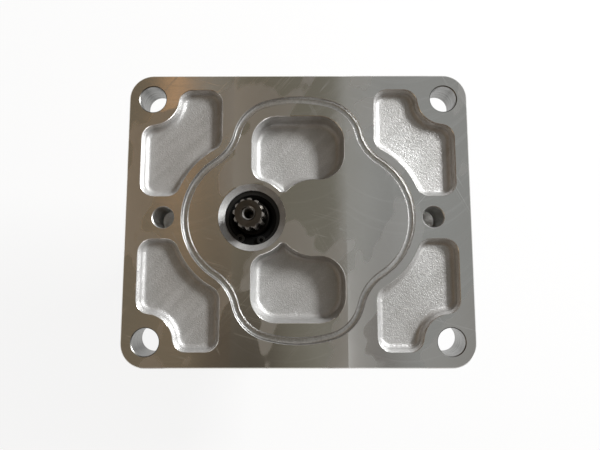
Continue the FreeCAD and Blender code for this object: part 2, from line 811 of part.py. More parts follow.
def bearing_block(front):
    if front:
        z_low, z_high = front_block_gear_face_z, body_front_z
        gear_face, inward = z_low, 1
    else:
        z_low, z_high = body_rear_z, rear_block_gear_face_z
        gear_face, inward = z_high, -1
    tools = [cylinder(bush_outer_radius, z_low - overrun, z_high + overrun, x) for x in shaft_axes]
    slot_low, slot_high = sorted((gear_face - inward * overrun, gear_face + inward * relief_slot_depth))
    for side in (-1, 1):
        near, far = sorted((side * relief_slot_start, side * gear_bore_radius))
        tools.append(block(middle_x - relief_slot_half_width, middle_x + relief_slot_half_width, near, far,
                           slot_low, slot_high))
    half = axial_groove_width / 2
    groove_low, groove_high = axial_levels(front)
    tools.append(axial_band(-half, half, groove_low, groove_high))
    return cut(block_outline(z_low, z_high), tools)


def axial_seal(front, inner, outer):
    z_low, z_high = axial_levels(front)
    return axial_band(inner, outer, z_low, z_high).common(block_outline(z_low, z_high))


def bush(x, z_low, z_high):
    low = z_low + bush_end_recess
    high = z_high - bush_end_recess
    mouth = bush_inner_radius + bush_lead
    return turned([(mouth, low), (bush_outer_radius, low), (bush_outer_radius, high), (mouth, high),
                   (bush_inner_radius, high - bush_lead), (bush_inner_radius, low + bush_lead)], x)


def body_seal(z_low, z_high):
    inner, outer = body_seal_radii(body_seal_side_clearance)
    return body_seal_band(inner, outer, z_low, z_high)


# Shaft seal


def seal_case():
    """Pressed steel cup that stiffens the rubber."""
    outer = seal_case_outer_radius
    inner = outer - seal_case_thickness
    web_top = shaft_seal_top_z - seal_cover_thickness
    web_low = web_top - seal_case_thickness
    end = shaft_seal_low_z + seal_cover_thickness
    return turned([(outer, end), (outer, web_top), (seal_web_inner_radius, web_top),
                   (seal_web_inner_radius, web_low), (inner, web_low), (inner, end)], drive_axis_x)


def shaft_seal():
    """Rubber cover and sprung lip; the lip points down, towards the oil."""
    top = shaft_seal_top_z
    bottom = shaft_seal_low_z
    case_outer = seal_case_outer_radius
    case_inner = case_outer - seal_case_thickness
    case_end = bottom + seal_cover_thickness
    web_top = top - seal_cover_thickness
    web_low = web_top - seal_case_thickness
    web_end = seal_web_inner_radius
    back = seal_lip_back_radius
    spring_low = garter_z - garter_wire_radius
    spring_high = garter_z + garter_wire_radius
    return turned([(seal_bore_radius, bottom), (seal_bore_radius, top), (web_end, top),
                   (back, top - seal_cover_thickness / 2), (back, web_low), (seal_lip_radius, spring_high),
                   (back, bottom), (garter_ring_radius, bottom), (garter_ring_radius, spring_low),
                   (back, spring_low), (back, spring_high), (web_end, web_low), (web_end, web_top),
                   (case_outer, web_top), (case_outer, case_end), (case_inner, case_end),
                   (case_inner, bottom)], drive_axis_x)


def garter_spring():
    centre = point(drive_axis_x, 0, garter_z)
    return Part.makeTorus(garter_ring_radius, garter_wire_radius, centre, up)


def seal_circlip():
    """Internal circlip, sprung into its groove above the seal, with two holed lugs."""
    top = -circlip_top_depth
    low = top - circlip_thickness
    outer = circlip_groove_radius - circlip_groove_clearance
    inner = outer - (circlip_back_width + circlip_tip_width) / 2
    shift = (circlip_back_width - circlip_tip_width) / 2
    gap = math.radians(circlip_gap_direction)
    x = drive_axis_x + shift * math.cos(gap)
    y = shift * math.sin(gap)
    ring = cylinder(outer, low, top, drive_axis_x).cut(cylinder(inner, low, top, x, y))
    half = math.radians(circlip_lug_half_angle)
    centre = point(drive_axis_x, 0, low)
    sides = [point(math.cos(gap + turn), math.sin(gap + turn)) for turn in (-half, half)]
    corners = [centre] + [centre + side * circlip_groove_radius * 2 for side in sides] + [centre]
    solid = ring.cut(Part.Face(Part.makePolygon(corners)).extrude(point(0, 0, circlip_thickness)))
    lugs = []
    holes = []
    for side in sides:
        lug_x = drive_axis_x + side.x * (seal_bore_radius - circlip_lug_inset)
        lug_y = side.y * (seal_bore_radius - circlip_lug_inset)
        lugs.append(cylinder(circlip_lug_radius, low, top, lug_x, lug_y))
        holes.append(cylinder(circlip_lug_hole_diameter / 2, low, top, lug_x, lug_y))
    return cut(fused([solid] + lugs), holes)


# Fasteners


def hexagon_prism(width, z_low, height):
    """Six-sided prism; width is measured across its flats."""
    radius = width / math.sqrt(3)
    turns = [math.pi / 3 * k for k in range(6)]
    corners = [point(radius * math.cos(turn), radius * math.sin(turn), z_low) for turn in turns]
    return Part.Face(Part.makePolygon(corners + corners[:1])).extrude(point(0, 0, height))


def body_bolt(x, y):
    """Socket head cap screw, put in from behind and screwed into the front cover."""
    shank = body_bolt_diameter / 2
    head = body_bolt_head_diameter / 2
    rim = head_seat_z - body_bolt_head_height
    chamfer = body_bolt_end_chamfer
    solid = turned([(0, rim), (head - chamfer, rim), (head, rim + chamfer), (head, head_seat_z),
                    (shank, head_seat_z), (shank, bolt_tip_z - chamfer), (shank - chamfer, bolt_tip_z),
                    (0, bolt_tip_z)])
    solid = cut(solid, [hexagon_prism(body_bolt_socket_width, rim, body_bolt_socket_depth)])
    solid.translate(point(x, y))
    return solid


def ring(inner, outer, z_low, z_high, x, y):
    return cylinder(outer, z_low, z_high, x, y).cut(cylinder(inner, z_low, z_high, x, y))


def washer(x, y):
    return ring(bolt_hole_radius, washer_diameter / 2, head_seat_z, washer_seat_z, x, y)


def sleeve(z_joint, x, y):
    reach = sleeve_length / 2
    inner = sleeve_outer_radius - sleeve_wall
    return ring(inner, sleeve_outer_radius, z_joint - reach, z_joint + reach, x, y)


def group(maker, places):
    return Part.makeCompound([maker(x, y) for x, y in places])


def nodes():
    half_groove = axial_groove_width / 2
    strip_edge = half_groove - backup_strip_width
    named = {
        "front_cover": front_cover(),
        "pump_body": pump_body(),
        "rear_cover": rear_cover(),
        "drive_gear_shaft": drive_gear_shaft(),
        "driven_gear_shaft": driven_gear_shaft(),
        "shaft_seal": shaft_seal(),
        "seal_case": seal_case(),
        "garter_spring": garter_spring(),
        "seal_circlip": seal_circlip(),
        "front_body_seal": body_seal(body_front_z - body_seal_depth, body_front_z),
        "rear_body_seal": body_seal(body_rear_z, body_rear_z + body_seal_depth),
        "front_alignment_sleeves": group(lambda x, y: sleeve(body_front_z, x, y), sleeve_places()),
        "rear_alignment_sleeves": group(lambda x, y: sleeve(body_rear_z, x, y), sleeve_places()),
        "body_bolts": group(body_bolt, body_bolt_places()),
        "bolt_washers": group(washer, body_bolt_places()),
    }
    ends = (("front", True, front_block_gear_face_z, body_front_z),
            ("rear", False, body_rear_z, rear_block_gear_face_z))
    for end, is_front, z_low, z_high in ends:
        named[end + "_bearing_block"] = bearing_block(is_front)
        named[end + "_axial_seal"] = axial_seal(is_front, -half_groove, strip_edge)
        named[end + "_backup_strip"] = axial_seal(is_front, strip_edge, half_groove)
        named[end + "_drive_bush"] = bush(drive_axis_x, z_low, z_high)
        named[end + "_driven_bush"] = bush(driven_axis_x, z_low, z_high)
    return named


os.makedirs("parts", exist_ok=True)
for name, shape in nodes().items():
    print(name, "solids", len(shape.Solids), "valid", shape.isValid(), "volume", round(shape.Volume, 1))
    shape.exportStep("parts/" + name + ".step")
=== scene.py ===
import json
import math

import bmesh
import bpy
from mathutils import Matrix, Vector

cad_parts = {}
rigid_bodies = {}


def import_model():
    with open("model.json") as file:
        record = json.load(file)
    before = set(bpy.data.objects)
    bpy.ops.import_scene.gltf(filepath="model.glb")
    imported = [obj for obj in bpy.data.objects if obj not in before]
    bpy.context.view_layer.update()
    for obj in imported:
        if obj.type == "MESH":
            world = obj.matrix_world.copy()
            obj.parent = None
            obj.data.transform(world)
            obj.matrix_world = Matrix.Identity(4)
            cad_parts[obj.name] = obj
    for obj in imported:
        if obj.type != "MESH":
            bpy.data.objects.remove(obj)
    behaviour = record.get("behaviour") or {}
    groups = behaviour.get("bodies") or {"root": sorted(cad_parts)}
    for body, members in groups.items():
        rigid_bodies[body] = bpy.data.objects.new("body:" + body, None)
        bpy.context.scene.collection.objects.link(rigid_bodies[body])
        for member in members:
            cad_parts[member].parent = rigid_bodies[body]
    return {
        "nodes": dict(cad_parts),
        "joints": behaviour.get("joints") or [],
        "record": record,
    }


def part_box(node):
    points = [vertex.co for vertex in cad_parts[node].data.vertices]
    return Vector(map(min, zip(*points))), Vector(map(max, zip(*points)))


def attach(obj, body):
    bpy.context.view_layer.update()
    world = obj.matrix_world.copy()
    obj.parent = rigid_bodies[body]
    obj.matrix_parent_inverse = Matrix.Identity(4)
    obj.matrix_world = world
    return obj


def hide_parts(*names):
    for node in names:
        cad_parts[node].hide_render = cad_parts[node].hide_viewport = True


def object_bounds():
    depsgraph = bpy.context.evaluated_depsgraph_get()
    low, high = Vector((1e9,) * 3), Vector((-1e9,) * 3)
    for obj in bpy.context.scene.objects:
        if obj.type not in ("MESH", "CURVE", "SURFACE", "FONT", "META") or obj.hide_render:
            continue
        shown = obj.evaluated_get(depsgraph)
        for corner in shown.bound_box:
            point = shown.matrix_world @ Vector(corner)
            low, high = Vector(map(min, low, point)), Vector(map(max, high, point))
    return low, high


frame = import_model()
cad_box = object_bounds()
mm = 0.001

# Camera: the photograph looks down on the mounting face from straight above, a little towards the
# lower edge, and so near that the walls of the bolt holes show.
lens_length = 25.8
camera_place = Vector((1.58, -29.73, 246.03)) * mm
camera_tilt = (5.84, 0.125, -0.063)
camera_data = bpy.data.cameras.new("camera")
camera_data.sensor_width = 36.0
camera_data.lens = lens_length
camera_data.clip_start = 0.01
camera = bpy.data.objects.new("camera", camera_data)
camera.location = camera_place
camera.rotation_euler = [math.radians(angle) for angle in camera_tilt]
bpy.context.scene.collection.objects.link(camera)
bpy.context.scene.camera = camera
bpy.context.scene.view_settings.view_transform = "Standard"


# White table: a matt white board that the bolt heads stand on. The camera sees it white, and so do
# rays off shiny metal, while a share of it is lit, so that it keeps the pump's soft shadow.
table_reach = 2.5
table_white_share = 0.88
board_white = (0.86, 0.86, 0.86, 1)


def calculate(tree, operation, *values):
    """Math node; each value is a number or a socket. Gives the socket of the result."""
    node = tree.nodes.new("ShaderNodeMath")
    node.operation = operation
    for socket, value in zip(node.inputs, values):
        if isinstance(value, (int, float)):
            socket.default_value = value
        else:
            tree.links.new(value, socket)
    return node.outputs[0]


table_material = bpy.data.materials.new("white_table")
table_material.use_nodes = True
tree = table_material.node_tree
tree.nodes.clear()
path = tree.nodes.new("ShaderNodeLightPath")
seen = calculate(tree, "MAXIMUM", path.outputs["Is Camera Ray"], path.outputs["Is Glossy Ray"])
seen = calculate(tree, "MAXIMUM", seen, path.outputs["Is Transmission Ray"])
board = tree.nodes.new("ShaderNodeBsdfDiffuse")
board.inputs["Color"].default_value = board_white
white = tree.nodes.new("ShaderNodeEmission")
mix = tree.nodes.new("ShaderNodeMixShader")
output = tree.nodes.new("ShaderNodeOutputMaterial")
tree.links.new(calculate(tree, "MULTIPLY", seen, table_white_share), mix.inputs[0])
tree.links.new(board.outputs[0], mix.inputs[1])
tree.links.new(white.outputs[0], mix.inputs[2])
tree.links.new(mix.outputs[0], output.inputs["Surface"])
table_mesh = bpy.data.meshes.new("table")
table_corners = [(x * table_reach, y * table_reach, cad_box[0].z)
                 for x, y in ((-1, -1), (1, -1), (1, 1), (-1, 1))]
table_mesh.from_pydata(table_corners, [], [(0, 1, 2, 3)])
table_mesh.materials.append(table_material)
table = bpy.data.objects.new("table", table_mesh)
bpy.context.scene.collection.objects.link(table)


# Room: a workshop that the satin metal mirrors. Windows fill the upper right side, the other walls
# are dim and brown over a pale skirting, and overhead it is dusky and warmer on the left. Copper
# streaks, dark and dull red patches and sheets of pale paper stand about in it.
pale_skirting = (0.90, 0.90, 0.90)
window_light = (0.80, 0.82, 0.84)
window_way = Vector((0.86, 0.51))
brown_walls = (0.13, 0.085, 0.05)
overhead_left = (0.185, 0.157, 0.116)
overhead_middle = (0.205, 0.195, 0.168)
overhead_right = (0.37, 0.375, 0.37)
copper = (0.95, 0.57, 0.31)
dark_brown = (0.06, 0.047, 0.04)
dull_red = (0.115, 0.082, 0.068)
paper = (0.38, 0.37, 0.345)
lowest_height = 0.05
overhead_left_edge = (-0.25, 0.05)
overhead_right_edge = (0.09, 0.15)
overhead_low_edge = (0.64, 0.88)
window_edge = (0.35, 0.80)
skirting_edge = (0.07, 0.13)


def remap(tree, value, low, high, to_low=0.0, to_high=1.0):
    """Value carried smoothly from one range to another and held within it."""
    node = tree.nodes.new("ShaderNodeMapRange")
    node.interpolation_type = "SMOOTHSTEP"
    for label, number in (("From Min", low), ("From Max", high), ("To Min", to_low), ("To Max", to_high)):
        node.inputs[label].default_value = number
    tree.links.new(value, node.inputs["Value"])
    return node.outputs["Result"]


def mixed(tree, share, first, second):
    """Colour between first and second, which are colours or sockets."""
    node = tree.nodes.new("ShaderNodeMix")
    node.data_type = "RGBA"
    sockets = [socket for socket in node.inputs if socket.enabled]
    for socket, value in zip(sockets, (share, first, second)):
        if isinstance(value, tuple):
            socket.default_value = (*value, 1)
        elif isinstance(value, (int, float)):
            socket.default_value = value
        else:
            tree.links.new(value, socket)
    return next(socket for socket in node.outputs if socket.enabled)


def axes(tree, vector):
    """X, Y and Z of a vector's socket."""
    node = tree.nodes.new("ShaderNodeSeparateXYZ")
    tree.links.new(vector, node.inputs[0])
    return tuple(node.outputs)


world = bpy.data.worlds.new("workshop")
world.use_nodes = True
bpy.context.scene.world = world
tree = world.node_tree
tree.nodes.clear()
way_x, way_y, way_z = axes(tree, tree.nodes.new("ShaderNodeTexCoord").outputs["Generated"])
height = calculate(tree, "MAXIMUM", way_z, lowest_height)
across = calculate(tree, "DIVIDE", way_x, height)
along = calculate(tree, "DIVIDE", way_y, height)
overhead = mixed(tree, remap(tree, across, *overhead_left_edge), overhead_left, overhead_middle)
overhead = mixed(tree, remap(tree, across, *overhead_right_edge), overhead, overhead_right)


def patch(tree, across, along, centre, reach):
    """Share of a soft patch of the room, which lies overhead about a place in x / z and y / z."""
    far = []
    for value, middle, half in zip((across, along), centre, reach):
        off = calculate(tree, "DIVIDE", calculate(tree, "SUBTRACT", value, middle), half)
        far.append(calculate(tree, "MULTIPLY", off, off))
    return remap(tree, calculate(tree, "ADD", *far), 0.4, 1.6, 1.0, 0.0)


for colour, share, centre, reach in ((dark_brown, 1.0, (-0.14, -0.24), (0.10, 0.14)),
                                     (dull_red, 0.9, (0.17, -0.17), (0.06, 0.14)),
                                     (dull_red, 0.5, (-0.15, -0.03), (0.04, 0.06)),
                                     (copper, 0.7, (-0.30, 0.42), (0.035, 0.22)),
                                     (copper, 0.12, (-0.28, -0.02), (0.045, 0.12)),
                                     (paper, 0.8, (-0.21, 0.46), (0.055, 0.14)),
                                     (paper, 0.6, (0.06, -0.22), (0.04, 0.10))):
    share = calculate(tree, "MULTIPLY", patch(tree, across, along, centre, reach), share)
    overhead = mixed(tree, share, overhead, colour)
facing = calculate(tree, "MULTIPLY", way_x, window_way.x)
facing = calculate(tree, "MULTIPLY_ADD", way_y, window_way.y, facing)
walls = mixed(tree, remap(tree, facing, *window_edge), brown_walls, window_light)
walls = mixed(tree, remap(tree, way_z, *overhead_low_edge), walls, overhead)
backdrop = mixed(tree, remap(tree, way_z, *skirting_edge), pale_skirting, walls)
room = tree.nodes.new("ShaderNodeBackground")
output = tree.nodes.new("ShaderNodeOutputWorld")
tree.links.new(backdrop, room.inputs["Color"])
tree.links.new(room.outputs[0], output.inputs["Surface"])


# Lamps: the sky in one window that is narrow across and long along Y, so that the right walls of the
# pockets throw sharp shadows and the upper walls soft ones, and a weak warm one low on the left.
def soft_lamp(name, place, size, power, colour):
    lamp = bpy.data.lights.new(name, "AREA")
    lamp.shape = "RECTANGLE"
    lamp.size, lamp.size_y = size
    lamp.energy = power
    lamp.color = colour
    holder = bpy.data.objects.new(name, lamp)
    holder.location = place
    holder.rotation_euler = (0, math.atan2(place[0], place[2]), 0)
    bpy.context.scene.collection.objects.link(holder)


soft_lamp("window", place=(1.20, 0.75, 0.75), size=(0.22, 0.66), power=40.0, colour=(1.0, 1.0, 1.0))
soft_lamp("warm_fill", place=(-1.0, -0.4, 0.5), size=(0.6, 0.4), power=0.5, colour=(1.0, 0.8, 0.55))


# Front cover: gravity-cast aluminium flange with cored pockets, shot-blasted all over. The mounting
# face is then milled in three passes, and the seal groove, bores and holes are cut with broken edges.
# It is bolted to the driving machine and carries the pump body behind it.
cover_low, cover_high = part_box("front_cover")
mounts = {mount["name"]: mount for mount in frame["record"]["mounts"]}
drive_x, driven_x = [joint["pos_m"][0] for joint in frame["joints"]]
middle_x = (drive_x + driven_x) / 2
joint_face = cover_low.z
flange_bolts = mounts["flange_bolts"]["dims"]
bolt_x = flange_bolts["spacing_x_mm"] / 2 * mm
bolt_y = flange_bolts["spacing_y_mm"] / 2 * mm
flange_hole_radius = flange_bolts["hole_r_mm"] * mm
locating_holes = mounts["locating_holes"]["dims"]
locating_x = locating_holes["spacing_x_mm"] / 2 * mm
locating_radius = locating_holes["hole_r_mm"] * mm
locating_depth = 20 * mm
drill_point_angle = math.radians(118)
plate_thickness = 18 * mm
plate_corner = 14 * mm
machined_edge = 0.6 * mm
cast_edge = 2 * mm
cast_edge_steps = 4
boss_overlap = 1 * mm
hole_edge = 0.5 * mm
pocket_rim_break = 0.3 * mm
groove_end_x = -drive_x
groove_end_radius = 38.9 * mm
groove_middle_radius = 70 * mm
groove_shoulder_radius = 24 * mm
groove_shoulder_angle = math.radians(74.6)
groove_waist_radius = 28 * mm
groove_half_width = 1.95 * mm
groove_depth = 2.3 * mm
groove_root_radius = 1.2 * mm
groove_edge = 0.22 * mm
seal_bore_radius = 16 * mm
seal_bore_depth = 13 * mm
lead_in_radius = 19.6 * mm
lead_in_depth = 2.3 * mm
lead_in_edge = 0.1 * mm
circlip_groove_radius = 16.85 * mm
circlip_groove_top = -3.55 * mm
circlip_groove_low = -4.85 * mm
shaft_passage_radius = 11 * mm
corner_pocket = {"depth": 4.8 * mm, "draft": 1.2 * mm, "floor": 3.1 * mm}
corner_pocket_radius = 8 * mm
corner_outer_x, corner_inner_x = 91.7 * mm, 44.7 * mm
corner_far_y, corner_near_y = 76 * mm, 12.5 * mm
bolt_land_radius = 15.7 * mm
groove_land_radius = 45.8 * mm
central_pocket = {"depth": 11 * mm, "draft": 1.3 * mm, "floor": 3.5 * mm}
central_half_x, central_far_y = 27 * mm, 60 * mm
central_wide_radius, central_drive_radius, central_cusp_radius = 15 * mm, 9 * mm, 3 * mm
shaft_land_radius = lead_in_radius + 2.7 * mm
housing_half_x = 34 * mm
housing_half_y = 67 * mm
housing_corner = 18 * mm
housing_low = -28.5 * mm
case_half_x = 55.5 * mm
case_half_y = 42.5 * mm
case_corner = 12 * mm
case_waist_radius = 30 * mm
case_waist_depth = 4 * mm
case_waist_edge = 2.5 * mm
locating_boss_radius = 11.5 * mm
locating_boss_floor = 4 * mm
milling_seams = (-104 * mm, -38 * mm, 28 * mm)
milling_pass_half = 33 * mm
as_cast, milled, bored, grooved = 0, 1, 2, 3


class Straight:
    """Straight wall of an outline, with its outward normal and its distance from the origin."""

    def __init__(self, normal_x, normal_y, distance):
        self.normal = Vector((normal_x, normal_y))
        self.distance = distance

    def room(self, place, inset):
        return self.distance - inset - self.normal.dot(place), -self.normal

    def touch(self, centre, radius, inset):
        return centre + self.normal * radius


class Land:
    """Round land that an outline runs round on its outside, such as the boss of a bolt hole."""

    def __init__(self, x, y, radius):
        self.centre = Vector((x, y))
        self.radius = radius

    def room(self, place, inset):
        outward = place - self.centre
        return outward.length - self.radius - inset, outward.normalized()

    def touch(self, centre, radius, inset):
        return self.centre + (centre - self.centre).normalized() * (self.radius + inset)


def corner_centre(first, second, radius, inset, place):
    """Centre of the arc that rounds the corner of two walls, found from a place near it."""
    for _ in range(30):
        room_a, slope_a = first.room(place, inset)
        room_b, slope_b = second.room(place, inset)
        miss_a, miss_b = radius - room_a, radius - room_b
        size = slope_a.x * slope_b.y - slope_a.y * slope_b.x
        step = (miss_a * slope_b.y - miss_b * slope_a.y, slope_a.x * miss_b - slope_b.x * miss_a)
        place = place + Vector(step) / size
    return place


def arc_points(centre, start, end, steps):
    """Points from start towards end about centre, the short way round, without the last."""
    first, last = start - centre, end - centre
    turn = math.atan2(first.x * last.y - first.y * last.x, first.dot(last))
    points = []
    for k in range(steps):
        c, s = math.cos(turn * k / steps), math.sin(turn * k / steps)
        points.append(centre + Vector((first.x * c - first.y * s, first.x * s + first.y * c)))
    return points


def outline(walls, inset=0.0, smallest=0.4 * mm, corner_steps=12, land_steps=16):
    """Closed outline of walls, each with the radius and the rough place of the corner after it."""
    joins = []
    for k, (wall, radius, place) in enumerate(walls):
        following = walls[(k + 1) % len(walls)][0]
        rounding = max(radius - inset, smallest)
        centre = corner_centre(wall, following, rounding, inset, Vector(place))
        joins.append((centre, wall.touch(centre, rounding, inset), following.touch(centre, rounding, inset)))
    points = []
    for k, (centre, start, end) in enumerate(joins):
        wall = walls[k][0]
        before = joins[k - 1][2]
        if isinstance(wall, Land):
            points += arc_points(wall.centre, before, start, land_steps)
        else:
            points.append(before)
        points += arc_points(centre, start, end, corner_steps)
    return points


def rounded_rectangle(half_x, half_y, radius):
    return [(Straight(1, 0, half_x), radius, (half_x, half_y)),
            (Straight(0, 1, half_y), radius, (-half_x, half_y)),
            (Straight(-1, 0, half_x), radius, (-half_x, -half_y)),
            (Straight(0, -1, half_y), radius, (half_x, -half_y))]


def moved(points, x=0.0, y=0.0, flip_x=1, flip_y=1):
    return [Vector((x + flip_x * p.x, y + flip_y * p.y)) for p in points]


def circle(radius, x, y, steps):
    turns = [math.tau * k / steps for k in range(steps)]
    return [Vector((x + radius * math.cos(turn), y + radius * math.sin(turn))) for turn in turns]


def ring_mesh(name, rings, kinds=None, around=False):
    """Closed mesh through equal rings of (points, z); kinds gives each band's material number.

    Its ends are capped, unless the last ring joins the first, as in the cutter of a groove."""
    count = len(rings[0][0])
    vertices = [(p.x, p.y, z) for points, z in rings for p in points]
    bands = len(rings) if around else len(rings) - 1
    kinds = kinds or [0] * bands
    faces, numbers = [], []
    for band in range(bands):
        low, high = band * count, (band + 1) % len(rings) * count
        for k in range(count):
            after = (k + 1) % count
            faces.append((low + k, high + k, high + after, low + after))
            numbers.append(kinds[band])
    if not around:
        last = len(vertices) - count
        faces += [tuple(range(count)), tuple(range(last, last + count))]
        numbers += [kinds[0], kinds[-1]]
    mesh = bpy.data.meshes.new(name)
    mesh.from_pydata(vertices, [], faces)
    work = bmesh.new()
    work.from_mesh(mesh)
    for face, number in zip(work.faces, numbers):
        face.material_index = number
    bmesh.ops.recalc_face_normals(work, faces=work.faces)
    work.to_mesh(mesh)
    work.free()
    return mesh


def placed(name, mesh, *materials):
    for material in materials:
        mesh.materials.append(material)
    piece = bpy.data.objects.new(name, mesh)
    bpy.context.scene.collection.objects.link(piece)
    return piece


def fillet_turns(steps):
    """Turns of the points along a quarter round, without the first."""
    return [math.pi / 2 * k / steps for k in range(1, steps + 1)]


def seal_groove_path(offset, steps=18):
    """Loop of the seal groove, moved outwards: end arcs, waist arcs, shoulders and middle arcs."""
    shoulder_way = Vector((math.cos(groove_shoulder_angle), math.sin(groove_shoulder_angle)))
    end_centre = Vector((groove_end_x, 0))
    shoulder_centre = shoulder_way * (groove_middle_radius - groove_shoulder_radius)
    reach_end = groove_end_radius + groove_waist_radius
    reach_shoulder = groove_shoulder_radius + groove_waist_radius
    span = shoulder_centre - end_centre
    far = (reach_end ** 2 - reach_shoulder ** 2 + span.length ** 2) / (2 * span.length)
    unit = span.normalized()
    waist_centre = end_centre + unit * far + Vector((unit.y, -unit.x)) * math.sqrt(reach_end ** 2 - far ** 2)
    start = end_centre + Vector((groove_end_radius + offset, 0))
    to_end, to_shoulder = waist_centre - end_centre, waist_centre - shoulder_centre
    first = end_centre + to_end.normalized() * (groove_end_radius + offset)
    second = shoulder_centre + to_shoulder.normalized() * (groove_shoulder_radius + offset)
    third = shoulder_way * (groove_middle_radius + offset)
    top = Vector((0, groove_middle_radius + offset))
    legs = ((end_centre, start, first), (waist_centre, first, second), (shoulder_centre, second, third),
            (Vector((0, 0)), third, top))
    quarter = [p for centre, a, b in legs for p in arc_points(centre, a, b, steps)]
    half = quarter + [top] + moved(quarter[:0:-1], flip_x=-1)
    return half + moved(half, flip_x=-1, flip_y=-1)


def groove_cutter():
    """Cutter of the seal groove: broken edges and a round bottom, as a bull-nosed mill leaves."""
    half, root = groove_half_width, groove_root_radius
    flank = [(half + 2 * groove_edge, groove_edge), (half, -groove_edge), (half, root - groove_depth)]
    flank += [(half - root * (1 - math.cos(turn)), root * (1 - math.sin(turn)) - groove_depth)
              for turn in fillet_turns(6)]
    profile = flank + [(-offset, z) for offset, z in reversed(flank)]
    return ring_mesh("groove_cutter", [(seal_groove_path(offset), z) for offset, z in profile],
                     [grooved] * len(profile), around=True)


def pocket_cutter(walls, size, flip_x, flip_y):
    """Core of a cast pocket: rim broken by the face mill, drafted wall, fillet and floor."""
    rim, draft, floor_radius = pocket_rim_break, size["draft"], size["floor"]
    wall_end = floor_radius - size["depth"]
    levels = [(-2 * rim, rim), (0.0, -rim), (draft / 2, (wall_end - rim) / 2), (draft, wall_end)]
    levels += [(draft + floor_radius * (1 - math.cos(turn)), wall_end - floor_radius * math.sin(turn))
               for turn in fillet_turns(8)]
    rings = [(moved(outline(walls, inset), flip_x=flip_x, flip_y=flip_y), z) for inset, z in levels]
    return ring_mesh("pocket_cutter", rings, [milled] + [as_cast] * (len(rings) - 2))


def turned_mesh(name, profile, x, y, kind, steps=64):
    """Mesh of revolution about a vertical axis, from (radius, z) pairs."""
    rings = [(circle(radius, x, y, steps), z) for radius, z in profile]
    return ring_mesh(name, rings, [kind] * (len(rings) - 1))


def joined(base, meshes, operation):
    """The base with these meshes added to it or cut from it."""
    tools = bpy.data.collections.new("tools")
    bpy.context.scene.collection.children.link(tools)
    for mesh in meshes:
        for material in base.data.materials:
            mesh.materials.append(material)
        tools.objects.link(bpy.data.objects.new(mesh.name, mesh))
    modifier = base.modifiers.new("joined", "BOOLEAN")
    modifier.operation = operation
    modifier.solver = "EXACT"
    modifier.operand_type = "COLLECTION"
    modifier.collection = tools
    evaluated = base.evaluated_get(bpy.context.evaluated_depsgraph_get())
    result = bpy.data.meshes.new_from_object(evaluated)
    base.modifiers.remove(modifier)
    base.data = result
    for tool in list(tools.objects):
        bpy.data.objects.remove(tool)
    bpy.data.collections.remove(tools)
    return base


def plate_mesh():
    walls = rounded_rectangle(cover_high.x, cover_high.y, plate_corner)
    back = cast_edge - plate_thickness
    levels = [(machined_edge, 0.0), (0.0, -machined_edge), (0.0, back)]
    levels += [(cast_edge * (1 - math.cos(turn)), back - cast_edge * math.sin(turn))
               for turn in fillet_turns(cast_edge_steps)]
    rings = [(outline(walls, inset), z) for inset, z in levels]
    return ring_mesh("front_cover_dressed", rings, [milled] + [as_cast] * (len(rings) - 2))


def case_walls():
    """Section shared by the boss of the cover, the pump body and the rear cover."""
    waist_x = case_half_x - case_waist_depth + case_waist_radius
    waist_y = math.sqrt(case_waist_radius ** 2 - (case_waist_radius - case_waist_depth) ** 2)
    walls = []
    for side in (1, -1):
        near_x, near_y = side * (case_half_x - case_waist_edge), side * (waist_y + case_waist_edge)
        walls += [(Straight(side, 0, case_half_x), case_waist_edge, (near_x, -near_y)),
                  (Land(side * waist_x, 0, case_waist_radius), case_waist_edge, (near_x, near_y)),
                  (Straight(side, 0, case_half_x), case_corner, (near_x, side * case_half_y)),
                  (Straight(0, side, case_half_y), case_corner, (-near_x, side * case_half_y))]
    return walls


def rear_bosses():
    """Boss to the pump body, housing of the central pockets and the two locating bosses."""
    inside = boss_overlap - plate_thickness
    foot = [(-cast_edge, inside), (-cast_edge, -plate_thickness)]
    foot += [(-cast_edge * (1 - math.sin(turn)), -plate_thickness - cast_edge * (1 - math.cos(turn)))
             for turn in fillet_turns(cast_edge_steps)]
    case = foot + [(0.0, joint_face + hole_edge), (hole_edge, joint_face)]
    rings = [(moved(outline(case_walls(), inset), middle_x), z) for inset, z in case]
    meshes = [ring_mesh("boss", rings, [as_cast] * (len(rings) - 2) + [milled])]
    round_low = [(cast_edge * (1 - math.cos(turn)), -cast_edge * math.sin(turn))
                 for turn in fillet_turns(cast_edge_steps)]
    walls = rounded_rectangle(housing_half_x, housing_half_y, housing_corner)
    level = housing_low + cast_edge
    housing = foot + [(0.0, level)] + [(inset, level + z) for inset, z in round_low]
    meshes.append(ring_mesh("housing", [(outline(walls, inset), z) for inset, z in housing]))
    tip = locating_depth + locating_radius / math.tan(drill_point_angle / 2)
    level = cast_edge - tip - locating_boss_floor
    profile = [(locating_boss_radius, inside), (locating_boss_radius, level)]
    profile += [(locating_boss_radius - inset, level + z) for inset, z in round_low]
    bosses = [turned_mesh("locating_boss", profile, side * locating_x, 0, as_cast) for side in (-1, 1)]
    return meshes + bosses


def through_hole_cutter(x, y):
    radius, edge = flange_hole_radius, hole_edge
    profile = [(radius + 2 * edge, edge), (radius, -edge), (radius, edge - plate_thickness),
               (radius + 2 * edge, -plate_thickness - edge)]
    return turned_mesh("bolt_hole", profile, x, y, bored)


def locating_hole_cutter(x):
    """Blind hole with the drill's cone below, cut as bright as the seal groove."""
    radius, edge, tip = locating_radius, hole_edge, 0.05 * mm
    cone = (radius - tip) / math.tan(drill_point_angle / 2)
    profile = [(radius + 2 * edge, edge), (radius, -edge), (radius, -locating_depth),
               (tip, -locating_depth - cone)]
    return turned_mesh("locating_hole", profile, x, 0, grooved)


